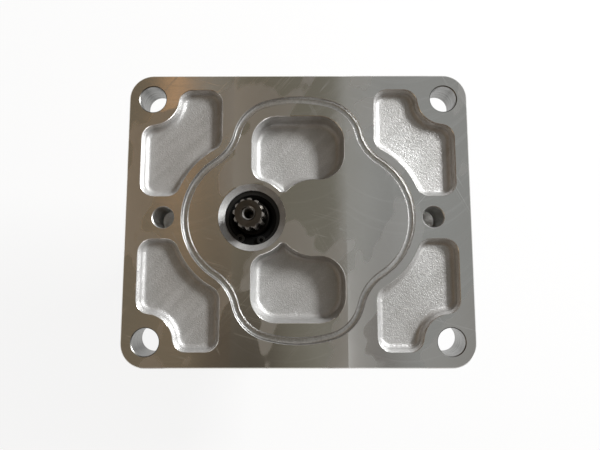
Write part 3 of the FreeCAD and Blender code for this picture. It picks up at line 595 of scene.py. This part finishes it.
def seal_bore_cutter():
    bore, groove, passage, steps = seal_bore_radius, circlip_groove_radius, shaft_passage_radius, 128
    profile = [(lead_in_radius + hole_edge, hole_edge), (lead_in_radius - lead_in_edge, -lead_in_edge),
               (bore, -lead_in_depth), (bore, circlip_groove_top), (groove, circlip_groove_top),
               (groove, circlip_groove_low), (bore, circlip_groove_low), (bore, -seal_bore_depth),
               (passage, -seal_bore_depth), (passage, joint_face - hole_edge)]
    rings = [(circle(radius, drive_x, 0, steps), z) for radius, z in profile]
    return ring_mesh("seal_bore", rings, [milled, as_cast] + [bored] * (len(rings) - 3))


corner_walls = [
    (Straight(1, 0, corner_outer_x), corner_pocket_radius, (88 * mm, 52 * mm)),
    (Land(bolt_x, bolt_y, bolt_land_radius), corner_pocket_radius, (66 * mm, 72 * mm)),
    (Straight(0, 1, corner_far_y), corner_pocket_radius, (48 * mm, 72 * mm)),
    (Straight(-1, 0, -corner_inner_x), corner_pocket_radius, (50 * mm, 46 * mm)),
    (Land(groove_end_x, 0, groove_land_radius), corner_pocket_radius, (74 * mm, 16 * mm)),
    (Straight(0, -1, -corner_near_y), corner_pocket_radius, (88 * mm, 16 * mm)),
]
central_walls = [
    (Straight(1, 0, central_half_x), central_wide_radius, (12 * mm, 45 * mm)),
    (Straight(0, 1, central_far_y), central_wide_radius, (-12 * mm, 45 * mm)),
    (Straight(-1, 0, central_half_x), central_drive_radius, (-18 * mm, 30 * mm)),
    (Land(drive_x, 0, shaft_land_radius), central_cusp_radius, (middle_x, 18 * mm)),
    (Land(driven_x, 0, shaft_land_radius), central_wide_radius, (12 * mm, 37 * mm)),
]
cutters = [groove_cutter(), seal_bore_cutter()]
cutters += [locating_hole_cutter(side * locating_x) for side in (-1, 1)]
for flip_y in (-1, 1):
    cutters.append(pocket_cutter(central_walls, central_pocket, 1, flip_y))
    for flip_x in (-1, 1):
        cutters.append(pocket_cutter(corner_walls, corner_pocket, flip_x, flip_y))
        cutters.append(through_hole_cutter(flip_x * bolt_x, flip_y * bolt_y))


def new_group(name, inputs, outputs):
    """Shader node group; inputs are (name, socket type, value), outputs are names of values."""
    group = bpy.data.node_groups.new(name, "ShaderNodeTree")
    for label, kind, value in inputs:
        socket = group.interface.new_socket(label, in_out="INPUT", socket_type=kind)
        if value is not None:
            socket.default_value = value
    for label in outputs:
        group.interface.new_socket(label, in_out="OUTPUT", socket_type="NodeSocketFloat")
    return group, group.nodes.new("NodeGroupInput"), group.nodes.new("NodeGroupOutput")


def noise(tree, place, scale, detail=3.0, roughness=0.55):
    """Noise in space, or along a line where place is a single value."""
    node = tree.nodes.new("ShaderNodeTexNoise")
    if place.type == "VECTOR":
        tree.links.new(place, node.inputs["Vector"])
    else:
        node.noise_dimensions = "1D"
        tree.links.new(place, node.inputs["W"])
    if isinstance(scale, (int, float)):
        node.inputs["Scale"].default_value = scale
    else:
        tree.links.new(scale, node.inputs["Scale"])
    node.inputs["Detail"].default_value = detail
    node.inputs["Roughness"].default_value = roughness
    return node.outputs["Fac"]


def stretched(tree, place, length, turn=0.0):
    """Place in a texture that is turned about Z and drawn out by these lengths."""
    node = tree.nodes.new("ShaderNodeMapping")
    node.vector_type = "TEXTURE"
    node.inputs["Scale"].default_value = length
    node.inputs["Rotation"].default_value = (0, 0, turn)
    tree.links.new(place, node.inputs["Vector"])
    return node.outputs[0]


# The arcs that a face mill leaves while it travels along Y, once per pass, and their slope to X,
# with a mask of painted glints along some of the leading arcs.
group_inputs = [("Place", "NodeSocketVector", None), ("Pass Centre", "NodeSocketFloat", 0.0),
                ("Cutter Radius", "NodeSocketFloat", 0.052), ("Lines Per Metre", "NodeSocketFloat", 900.0)]
milling_arcs, entry, leave = new_group("milling_arcs", group_inputs, ["Arcs", "Glints", "Slope"])
place_x, place_y, _ = axes(milling_arcs, entry.outputs["Place"])
off_centre = calculate(milling_arcs, "SUBTRACT", place_x, entry.outputs["Pass Centre"])
radius = entry.outputs["Cutter Radius"]
under_root = calculate(milling_arcs, "SUBTRACT", calculate(milling_arcs, "MULTIPLY", radius, radius),
                       calculate(milling_arcs, "MULTIPLY", off_centre, off_centre))
bow = calculate(milling_arcs, "SQRT", calculate(milling_arcs, "MAXIMUM", under_root, 1e-5))
lead_arc = calculate(milling_arcs, "ADD", place_y, bow)
trail_arc = calculate(milling_arcs, "SUBTRACT", place_y, bow)
lead_lines = noise(milling_arcs, lead_arc, entry.outputs["Lines Per Metre"], 4.0, 0.7)
trail_lines = noise(milling_arcs, trail_arc, entry.outputs["Lines Per Metre"], 4.0, 0.7)
both = calculate(milling_arcs, "MULTIPLY_ADD", trail_lines, 0.6, lead_lines)
milling_arcs.links.new(both, leave.inputs["Arcs"])
glints = remap(milling_arcs, noise(milling_arcs, lead_arc, 160.0, 3.0, 0.7), 0.52, 0.68)
milling_arcs.links.new(glints, leave.inputs["Glints"])
milling_arcs.links.new(calculate(milling_arcs, "DIVIDE", off_centre, bow), leave.inputs["Slope"])

# Grain of a blasted, cast, ground or moulded skin: its height, its bright facets and slow clouds.
group_inputs = [("Place", "NodeSocketVector", None), ("Grains Per Metre", "NodeSocketFloat", 1500.0)]
skin_grain, entry, leave = new_group("skin_grain", group_inputs, ["Height", "Facets", "Clouds"])
place, rate = entry.outputs["Place"], entry.outputs["Grains Per Metre"]
fine = noise(skin_grain, place, rate, 2.0)
coarse = noise(skin_grain, place, calculate(skin_grain, "MULTIPLY", rate, 0.35), 2.0)
skin_grain.links.new(calculate(skin_grain, "MULTIPLY_ADD", coarse, 0.6, fine), leave.inputs["Height"])
facets = noise(skin_grain, place, calculate(skin_grain, "MULTIPLY", rate, 1.3), 1.0)
skin_grain.links.new(remap(skin_grain, facets, 0.52, 0.70), leave.inputs["Facets"])
clouds = noise(skin_grain, place, calculate(skin_grain, "MULTIPLY", rate, 0.02), 4.0, 0.6)
skin_grain.links.new(clouds, leave.inputs["Clouds"])


def group_node(tree, group, place, **values):
    node = tree.nodes.new("ShaderNodeGroup")
    node.node_tree = group
    tree.links.new(place, node.inputs["Place"])
    for name, value in values.items():
        node.inputs[name.replace("_", " ").title()].default_value = value
    return node.outputs


def clouded(tree, grain, first, last):
    """Value that drifts between these two with the clouds of a grain."""
    return remap(tree, grain["Clouds"], 0.3, 0.7, first, last)


def finish(name, metallic, dress):
    """Material; dress(tree, place, shader) wires the colour, roughness and bump of its shader."""
    material = bpy.data.materials.new(name)
    material.use_nodes = True
    tree = material.node_tree
    tree.nodes.clear()
    shader = tree.nodes.new("ShaderNodeBsdfPrincipled")
    shader.inputs["Metallic"].default_value = metallic
    output = tree.nodes.new("ShaderNodeOutputMaterial")
    tree.links.new(shader.outputs[0], output.inputs["Surface"])
    place = tree.nodes.new("ShaderNodeTexCoord").outputs["Object"]
    dress(tree, place, shader)
    return material


def coated(tree, shader, colour, roughness):
    """Colour and roughness, wired into the shader."""
    tree.links.new(colour, shader.inputs["Base Color"])
    tree.links.new(roughness, shader.inputs["Roughness"])


def bumped(tree, shader, height, depth):
    node = tree.nodes.new("ShaderNodeBump")
    node.inputs["Distance"].default_value = depth
    tree.links.new(height, node.inputs["Height"])
    tree.links.new(node.outputs["Normal"], shader.inputs["Normal"])


def blasted_skin(tree, place, shader):
    dull, light, bright = (0.42, 0.418, 0.41), (0.52, 0.52, 0.515), (0.70, 0.70, 0.70)
    grain = group_node(tree, skin_grain, place, grains_per_metre=1800.0)
    flow = noise(tree, stretched(tree, place, (1, 7, 1), -0.8), 260.0, 3.0)
    clouds = calculate(tree, "MULTIPLY_ADD", flow, 0.4, calculate(tree, "MULTIPLY", grain["Clouds"], 0.6))
    colour = mixed(tree, remap(tree, clouds, 0.4, 0.62), dull, light)
    colour = mixed(tree, calculate(tree, "MULTIPLY", grain["Facets"], 0.4), colour, bright)
    coated(tree, shader, colour, clouded(tree, grain, 0.47, 0.39))
    bumped(tree, shader, grain["Height"], 0.22 * mm)


def between(tree, share, first, second):
    """Number between first and second, which are sockets."""
    return calculate(tree, "MULTIPLY_ADD", calculate(tree, "SUBTRACT", second, first), share, first)


def milled_face(tree, place, shader):
    left, middle, right, far = (0.70, 0.68, 0.64), (0.67, 0.66, 0.61), (0.88, 0.88, 0.86), (0.64, 0.64, 0.62)
    film, glint_and_scratch_white = (0.96, 0.96, 0.95), (0.96, 0.96, 0.96)
    softness, far_x = 12 * mm, 62 * mm
    x = axes(tree, place)[0]
    passes = []
    for seam in milling_seams:
        marks = group_node(tree, milling_arcs, place, pass_centre=seam + milling_pass_half)
        passes.append([marks["Arcs"], marks["Glints"], marks["Slope"]])
    arcs, glints, slope = passes[0]
    for seam, marks in zip(milling_seams[1:], passes[1:]):
        beyond = calculate(tree, "GREATER_THAN", x, seam)
        arcs, glints, slope = [between(tree, beyond, *pair) for pair in zip((arcs, glints, slope), marks)]
    blur_way = tree.nodes.new("ShaderNodeCombineXYZ")
    tree.links.new(calculate(tree, "MULTIPLY", slope, -0.6), blur_way.inputs["X"])
    blur_way.inputs["Y"].default_value = 1.0
    tree.links.new(blur_way.outputs[0], shader.inputs["Tangent"])
    shader.inputs["Anisotropic"].default_value = 0.93
    last_pass = calculate(tree, "GREATER_THAN", x, milling_seams[2])
    soft_x = calculate(tree, "MULTIPLY_ADD", noise(tree, place, 25.0, 3.0), softness, x)
    # Painted reflection: the face is painted warmer left of the last seam, lightest just right of it and
    # darker again towards far_x, after the room's bright right side.
    colour = mixed(tree, remap(tree, soft_x, milling_seams[1], milling_seams[1] + softness), left, middle)
    painted_reflection_band = mixed(tree, remap(tree, soft_x, milling_seams[2], far_x), right, far)
    soft_seam = remap(tree, soft_x, milling_seams[2] - 4 * mm, milling_seams[2] + 7 * mm)
    colour = mixed(tree, soft_seam, colour, painted_reflection_band)
    smears = noise(tree, stretched(tree, place, (1, 1.8, 1), -0.35), 26.0, 3.0, 0.5)
    smear = calculate(tree, "MULTIPLY", remap(tree, smears, 0.52, 0.545, 0.0, 0.80),
                      remap(tree, x, 10 * mm, 35 * mm, 1.0, 0.4))
    colour = mixed(tree, smear, colour, film)
    # Painted highlight: glints painted along the leading milling arcs; the same near white also serves the
    # real scratches below.
    colour = mixed(tree, calculate(tree, "MULTIPLY", glints, 0.12), colour, glint_and_scratch_white)
    scratches = 0.0
    for turn, rate in ((0.5, 30.0), (-0.7, 24.0), (1.3, 36.0)):
        thin = noise(tree, stretched(tree, place, (1, 60, 1), turn), rate * 10, 1.0)
        line = calculate(tree, "ABSOLUTE", calculate(tree, "SUBTRACT", thin, 0.62))
        gate = remap(tree, noise(tree, stretched(tree, place, (1, 2, 1), turn), rate, 1.0), 0.55, 0.60)
        line = calculate(tree, "MULTIPLY", remap(tree, line, 0.0, 0.010, 1.0, 0.0), gate)
        scratches = calculate(tree, "MAXIMUM", scratches, line)
    colour = mixed(tree, calculate(tree, "MULTIPLY", scratches, 0.7), colour, glint_and_scratch_white)
    dullness = calculate(tree, "MULTIPLY_ADD", noise(tree, place, 35.0, 4.0), 0.08, 0.13)
    dullness = calculate(tree, "MULTIPLY_ADD", smear, 0.28, dullness)
    coated(tree, shader, colour, calculate(tree, "MULTIPLY_ADD", last_pass, 0.03, dullness))
    bumped(tree, shader, calculate(tree, "MULTIPLY_ADD", scratches, -0.8, arcs), 0.012 * mm)


def bored_wall(tree, place, shader):
    dark, light = (0.15, 0.147, 0.14), (0.42, 0.42, 0.41)
    rings = noise(tree, axes(tree, place)[2], 1700.0, 3.0, 0.7)
    grain = group_node(tree, skin_grain, place, grains_per_metre=1500.0)
    colour = mixed(tree, remap(tree, rings, 0.35, 0.65), dark, light)
    coated(tree, shader, colour, clouded(tree, grain, 0.26, 0.40))
    bumped(tree, shader, calculate(tree, "MULTIPLY_ADD", grain["Height"], 0.2, rings), 0.04 * mm)


def grooved_wall(tree, place, shader):
    dull, light, scuffed = (0.54, 0.54, 0.53), (0.66, 0.66, 0.655), (0.90, 0.90, 0.90)
    grain = group_node(tree, skin_grain, place, grains_per_metre=1100.0)
    colour = mixed(tree, remap(tree, grain["Height"], 0.6, 1.0), dull, light)
    nicks = remap(tree, noise(tree, place, 240.0, 4.0, 0.7), 0.64, 0.70)
    colour = mixed(tree, calculate(tree, "MULTIPLY", nicks, 0.6), colour, scuffed)
    coated(tree, shader, colour, clouded(tree, grain, 0.30, 0.42))
    bumped(tree, shader, calculate(tree, "MULTIPLY_ADD", nicks, 0.6, grain["Height"]), 0.03 * mm)


blasted_aluminium = finish("blasted_aluminium", 0.5, blasted_skin)
milled_aluminium = finish("milled_aluminium", 1.0, milled_face)
bored_aluminium = finish("bored_aluminium", 1.0, bored_wall)
grooved_aluminium = finish("grooved_aluminium", 1.0, grooved_wall)
sharp_angle_plain = 32.0


def dressed_piece(piece, body, slot, *nodes, sharp_angle=sharp_angle_plain):
    """Smooth shading with the sharp edges kept, then the piece's body, and its solids are hidden. The slot
    is not used.
    """
    piece.data.shade_smooth()
    piece.data.set_sharp_from_angle(angle=math.radians(sharp_angle))
    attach(piece, body)
    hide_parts(*nodes)


cover = placed("front_cover_dressed", plate_mesh(), blasted_aluminium, milled_aluminium, bored_aluminium,
               grooved_aluminium)
cover = joined(joined(cover, rear_bosses(), "UNION"), cutters, "DIFFERENCE")
dressed_piece(cover, "housing", "cast_aluminium_flange", "front_cover")


# Gear shafts: case-hardened steel, hobbed in one piece with their gears and ground on the journals.
# The drive shaft ends in a 12-tooth spline with a protected centre hole. Below the top of the seal
# the steel is painted near black: painted shade of the bore over an oil film. The tooth tips and
# the mouth of the centre hole are painted lighter: painted highlight.
merge_distance = 0.001 * mm
flat_angle = math.radians(0.5)
bevel_angle = math.radians(40)
sharp_angle_bevelled = 20.0


def copied_piece(node, body, slot, material, edge=0.0):
    """Merged copy of a solid's mesh, with its sharp edges broken by a small bevel where an edge is given."""
    mesh = frame["nodes"][node].data.copy()
    mesh.materials.clear()
    work = bmesh.new()
    work.from_mesh(mesh)
    bmesh.ops.remove_doubles(work, verts=work.verts, dist=merge_distance)
    bmesh.ops.dissolve_limit(work, angle_limit=flat_angle, verts=work.verts, edges=work.edges)
    for face in work.faces:
        face.material_index = 0
    work.to_mesh(mesh)
    work.free()
    piece = placed(node + "_dressed", mesh, material)
    if edge:
        modifier = piece.modifiers.new("edge", "BEVEL")
        modifier.width = edge
        modifier.segments = 2
        modifier.limit_method = "ANGLE"
        modifier.angle_limit = bevel_angle
        evaluated = piece.evaluated_get(bpy.context.evaluated_depsgraph_get())
        piece.data = bpy.data.meshes.new_from_object(evaluated)
        piece.modifiers.clear()
    # A bevelled edge turns by 22.5 degrees at first: kept sharp, it leaves the flat faces flat.
    sharp_angle = sharp_angle_bevelled if edge else sharp_angle_plain
    dressed_piece(piece, body, slot, node, sharp_angle=sharp_angle)


def oiled_steel_skin(tree, place, shader):
    dark, light = (0.085, 0.073, 0.062), (0.14, 0.125, 0.11)
    bore_shade_and_oil, painted_highlight_steel = (0.010, 0.009, 0.008), (0.50, 0.49, 0.47)
    mouth_edge, mouth_height = (3.2 * mm, 3.6 * mm), (12 * mm, 17 * mm)
    tip_edge, tip_height, seal_height = (7.2 * mm, 7.6 * mm), (2 * mm, 5 * mm), (-0.5 * mm, 3 * mm)
    grain = group_node(tree, skin_grain, place, grains_per_metre=2500.0)
    x, y, z = axes(tree, place)
    off_x = calculate(tree, "SUBTRACT", x, drive_x)
    radius = calculate(tree, "MULTIPLY", off_x, off_x)
    radius = calculate(tree, "SQRT", calculate(tree, "MULTIPLY_ADD", y, y, radius))
    inside_mouth = remap(tree, radius, *mouth_edge, 1.0, 0.0)
    mouth = calculate(tree, "MULTIPLY", inside_mouth, remap(tree, z, *mouth_height))
    tips = calculate(tree, "MULTIPLY", remap(tree, radius, *tip_edge), remap(tree, z, *tip_height))
    colour = mixed(tree, grain["Clouds"], dark, light)
    # Painted highlight: the tooth tips a little, and the mouth of the centre hole fully, are painted light.
    colour = mixed(tree, calculate(tree, "MULTIPLY_ADD", tips, 0.15, mouth), colour, painted_highlight_steel)
    # Painted shade: below the top of the seal the steel is painted near black, for the shade in the bore
    # over an oil film.
    colour = mixed(tree, remap(tree, z, *seal_height, 1.0, 0.0), colour, bore_shade_and_oil)
    roughness = calculate(tree, "MULTIPLY_ADD", mouth, 0.25, clouded(tree, grain, 0.24, 0.36))
    coated(tree, shader, colour, roughness)
    bumped(tree, shader, grain["Height"], 0.006 * mm)


oiled_steel = finish("oiled_steel", 1.0, oiled_steel_skin)
copied_piece("drive_gear_shaft", "drive_shaft", "shaft_steel", oiled_steel, 0.12 * mm)
copied_piece("driven_gear_shaft", "driven_shaft", "shaft_steel", oiled_steel)


# Shaft seal: black nitrile rubber moulded over a pressed steel cup, with a coil spring that holds
# its lip to the journal. It is pressed into the bore of the front cover.
def plain_skin(tree, place, shader, grains, colours, roughness, depth):
    """Two colours and two roughnesses that drift in slow clouds, over a fine grain this deep."""
    grain = group_node(tree, skin_grain, place, grains_per_metre=grains)
    coated(tree, shader, mixed(tree, grain["Clouds"], *colours), clouded(tree, grain, *roughness))
    bumped(tree, shader, grain["Height"], depth)


def moulded_rubber_skin(tree, place, shader):
    black, worn = (0.003, 0.003, 0.003), (0.007, 0.007, 0.007)
    plain_skin(tree, place, shader, 2200.0, (black, worn), (0.24, 0.36), 0.02 * mm)
    shader.inputs["Specular IOR Level"].default_value = 0.10


def bright_steel_skin(tree, place, shader):
    grey, light = (0.46, 0.46, 0.45), (0.62, 0.62, 0.61)
    plain_skin(tree, place, shader, 2500.0, (grey, light), (0.25, 0.38), 0.01 * mm)


moulded_rubber = finish("moulded_rubber", 0.0, moulded_rubber_skin)
bright_steel = finish("bright_steel", 1.0, bright_steel_skin)
copied_piece("shaft_seal", "housing", "seal_rubber", moulded_rubber, 0.15 * mm)
copied_piece("seal_case", "housing", "pressed_steel", bright_steel)
copied_piece("garter_spring", "housing", "spring_steel", bright_steel)


# Circlip: an internal ring of black phosphated spring steel with two holed lugs, sprung into the
# groove above the seal, with its gap towards the lower edge of the flange.
def phosphate_skin(tree, place, shader):
    black, worn = (0.008, 0.008, 0.008), (0.03, 0.029, 0.027)
    grain = group_node(tree, skin_grain, place, grains_per_metre=4000.0)
    colour = mixed(tree, calculate(tree, "MULTIPLY", grain["Facets"], 0.5), black, worn)
    coated(tree, shader, colour, clouded(tree, grain, 0.28, 0.42))
    bumped(tree, shader, grain["Height"], 0.02 * mm)


black_phosphate = finish("black_phosphate", 0.2, phosphate_skin)
copied_piece("seal_circlip", "housing", "black_spring_steel", black_phosphate, 0.12 * mm)


# Pump body: a sawn length of aluminium extrusion with the die's draw lines along it. Its ends, the
# gear bore and the two port faces are machined.
def drawn_skin(tree, place, shader):
    dull, light = (0.48, 0.48, 0.475), (0.64, 0.64, 0.63)
    grain = group_node(tree, skin_grain, place, grains_per_metre=1800.0)
    lines = noise(tree, stretched(tree, place, (1, 1, 100)), 1400.0, 2.0)
    coated(tree, shader, mixed(tree, lines, dull, light), clouded(tree, grain, 0.32, 0.46))
    bumped(tree, shader, calculate(tree, "MULTIPLY_ADD", grain["Height"], 0.15, lines), 0.03 * mm)


extruded_aluminium = finish("extruded_aluminium", 1.0, drawn_skin)
copied_piece("pump_body", "housing", "extruded_aluminium", extruded_aluminium, 0.25 * mm)


# Rear cover: a shot-blasted aluminium casting that closes the body from behind. It is spot-faced
# under the washers of the four body bolts.
copied_piece("rear_cover", "housing", "cast_aluminium", blasted_aluminium, 0.2 * mm)


# Bearing blocks: machined aluminium, one at each side of the gears, with bronze-lined bushes for the
# journals. A rubber seal and a moulded backup strip in each rear face part suction from pressure.
def lined_bush_skin(tree, place, shader):
    dark, light = (0.38, 0.25, 0.12), (0.55, 0.38, 0.20)
    plain_skin(tree, place, shader, 2500.0, (dark, light), (0.34, 0.5), 0.02 * mm)


def moulded_plastic_skin(tree, place, shader):
    shade, light = (0.70, 0.67, 0.58), (0.79, 0.77, 0.69)
    plain_skin(tree, place, shader, 1500.0, (shade, light), (0.4, 0.52), 0.02 * mm)


lined_bronze = finish("lined_bronze", 1.0, lined_bush_skin)
moulded_plastic = finish("moulded_plastic", 0.0, moulded_plastic_skin)
for end in ("front", "rear"):
    copied_piece(end + "_bearing_block", "housing", "block_aluminium", milled_aluminium)
    copied_piece(end + "_drive_bush", "housing", "bush_bronze", lined_bronze)
    copied_piece(end + "_driven_bush", "housing", "bush_bronze", lined_bronze)
    copied_piece(end + "_axial_seal", "housing", "seal_rubber", moulded_rubber)
    copied_piece(end + "_backup_strip", "housing", "backup_plastic", moulded_plastic)


# Joints of the castings: a moulded rubber seal in each end of the body, and split steel sleeves
# round two of the bolts that line the castings up.
for end in ("front", "rear"):
    copied_piece(end + "_body_seal", "housing", "seal_rubber", moulded_rubber)
    copied_piece(end + "_alignment_sleeves", "housing", "pressed_steel", bright_steel)


# Body bolts and washers: four zinc-plated socket head screws with knurled heads, each on a plain
# washer, that clamp the rear cover and the body to the front cover from behind.
knurl_count = 42
knurl_depth = 0.2 * mm
bolt_head_radius = 8 * mm
bolt_shank_radius = 5 * mm
bolt_socket_width = 8 * mm
bolt_socket_depth = 5 * mm
bolt_edge = 1 * mm
knurl_margin = 1.3 * bolt_edge
socket_tip_width = 0.1 * mm
bolt_sharp_angle = 28.0
washer_radius = 10 * mm
washer_hole_radius = 5.25 * mm
washer_edge = 0.25 * mm
bolts_low, bolts_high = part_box("body_bolts")
washers_low, washers_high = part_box("bolt_washers")


def knurled_circle(radius, depth):
    points = circle(radius, 0, 0, 2 * knurl_count)
    return [point * (1 - depth / radius * (k % 2)) for k, point in enumerate(points)]


def hexagon(width):
    points = []
    for point in circle(width / 2, 0, 0, 2 * knurl_count):
        turn = math.atan2(point.y, point.x)
        points.append(point / math.cos(turn % (math.pi / 3) - math.pi / 6))
    return points


def bolt_mesh():
    low, high, seat = bolts_low.z, bolts_high.z, washers_low.z
    head, shank = bolt_head_radius, bolt_shank_radius
    socket_end = low + bolt_socket_depth
    rings = [(hexagon(socket_tip_width), socket_end + bolt_edge), (hexagon(bolt_socket_width), socket_end),
             (hexagon(bolt_socket_width), low + bolt_edge / 4),
             (hexagon(bolt_socket_width + bolt_edge / 2), low),
             (knurled_circle(head - bolt_edge, 0), low), (knurled_circle(head, 0), low + bolt_edge),
             (knurled_circle(head, knurl_depth), low + knurl_margin),
             (knurled_circle(head, knurl_depth), seat - knurl_margin),
             (knurled_circle(head, 0), seat - bolt_edge), (knurled_circle(head, 0), seat),
             (knurled_circle(shank, 0), seat), (knurled_circle(shank, 0), high - bolt_edge),
             (knurled_circle(shank - bolt_edge, 0), high)]
    return ring_mesh("body_bolt", rings)


def washer_mesh():
    low, high, edge = washers_low.z, washers_high.z, washer_edge
    outer, inner, steps = washer_radius, washer_hole_radius, 64
    profile = [(inner, low + edge), (inner + edge, low), (outer - edge, low), (outer, low + edge),
               (outer, high - edge), (outer - edge, high), (inner + edge, high), (inner, high - edge)]
    return ring_mesh("bolt_washer", [(circle(radius, 0, 0, steps), z) for radius, z in profile], around=True)


def bolt_pattern_tree():
    """Geometry node tree that sets a piece at the four corners of a rectangle."""
    tree = bpy.data.node_groups.new("at_body_bolts", "GeometryNodeTree")
    for label, kind in (("Geometry", "NodeSocketGeometry"), ("Piece", "NodeSocketObject"),
                        ("Spacing X", "NodeSocketFloat"), ("Spacing Y", "NodeSocketFloat"),
                        ("Centre", "NodeSocketVector"), ("Finish", "NodeSocketMaterial")):
        tree.interface.new_socket(label, in_out="INPUT", socket_type=kind)
    tree.interface.new_socket("Geometry", in_out="OUTPUT", socket_type="NodeSocketGeometry")
    entry = tree.nodes.new("NodeGroupInput").outputs
    leave = tree.nodes.new("NodeGroupOutput")
    corners = tree.nodes.new("GeometryNodeMeshGrid")
    corners.inputs["Vertices X"].default_value = 2
    corners.inputs["Vertices Y"].default_value = 2
    shift = tree.nodes.new("GeometryNodeSetPosition")
    source = tree.nodes.new("GeometryNodeObjectInfo")
    spread = tree.nodes.new("GeometryNodeInstanceOnPoints")
    real = tree.nodes.new("GeometryNodeRealizeInstances")
    coat = tree.nodes.new("GeometryNodeSetMaterial")
    wires = ((entry["Spacing X"], corners.inputs["Size X"]), (entry["Spacing Y"], corners.inputs["Size Y"]),
             (corners.outputs["Mesh"], shift.inputs["Geometry"]), (entry["Centre"], shift.inputs["Offset"]),
             (entry["Piece"], source.inputs["Object"]), (shift.outputs[0], spread.inputs["Points"]),
             (source.outputs["Geometry"], spread.inputs["Instance"]),
             (spread.outputs[0], real.inputs["Geometry"]), (real.outputs[0], coat.inputs["Geometry"]),
             (entry["Finish"], coat.inputs["Material"]), (coat.outputs[0], leave.inputs["Geometry"]))
    for start, end in wires:
        tree.links.new(start, end)
    return tree


def at_body_bolts(name, mesh, tree, material):
    """Four of this mesh at the body bolts, as one piece."""
    one = placed(name + "_one", mesh)
    carrier = placed(name + "_dressed", bpy.data.meshes.new(name))
    modifier = carrier.modifiers.new("pattern", "NODES")
    modifier.node_group = tree
    values = {"Piece": one, "Spacing X": washers_high.x - washers_low.x - 2 * washer_radius,
              "Spacing Y": washers_high.y - washers_low.y - 2 * washer_radius,
              "Centre": (middle_x, 0.0, 0.0), "Finish": material}
    for item in tree.interface.items_tree:
        if item.in_out == "INPUT" and item.name in values:
            modifier[item.identifier] = values[item.name]
    evaluated = carrier.evaluated_get(bpy.context.evaluated_depsgraph_get())
    carrier.data = bpy.data.meshes.new_from_object(evaluated)
    carrier.modifiers.clear()
    bpy.data.objects.remove(one)
    return carrier


def zinc_plated_skin(tree, place, shader):
    grey, light = (0.52, 0.53, 0.55), (0.68, 0.69, 0.70)
    plain_skin(tree, place, shader, 2500.0, (grey, light), (0.24, 0.36), 0.012 * mm)


zinc_plated_steel = finish("zinc_plated_steel", 1.0, zinc_plated_skin)
pattern = bolt_pattern_tree()
bolts = at_body_bolts("body_bolts", bolt_mesh(), pattern, zinc_plated_steel)
dressed_piece(bolts, "housing", "zinc_plated_steel", "body_bolts", sharp_angle=bolt_sharp_angle)
washers = at_body_bolts("bolt_washers", washer_mesh(), pattern, zinc_plated_steel)
dressed_piece(washers, "housing", "zinc_plated_steel", "bolt_washers")
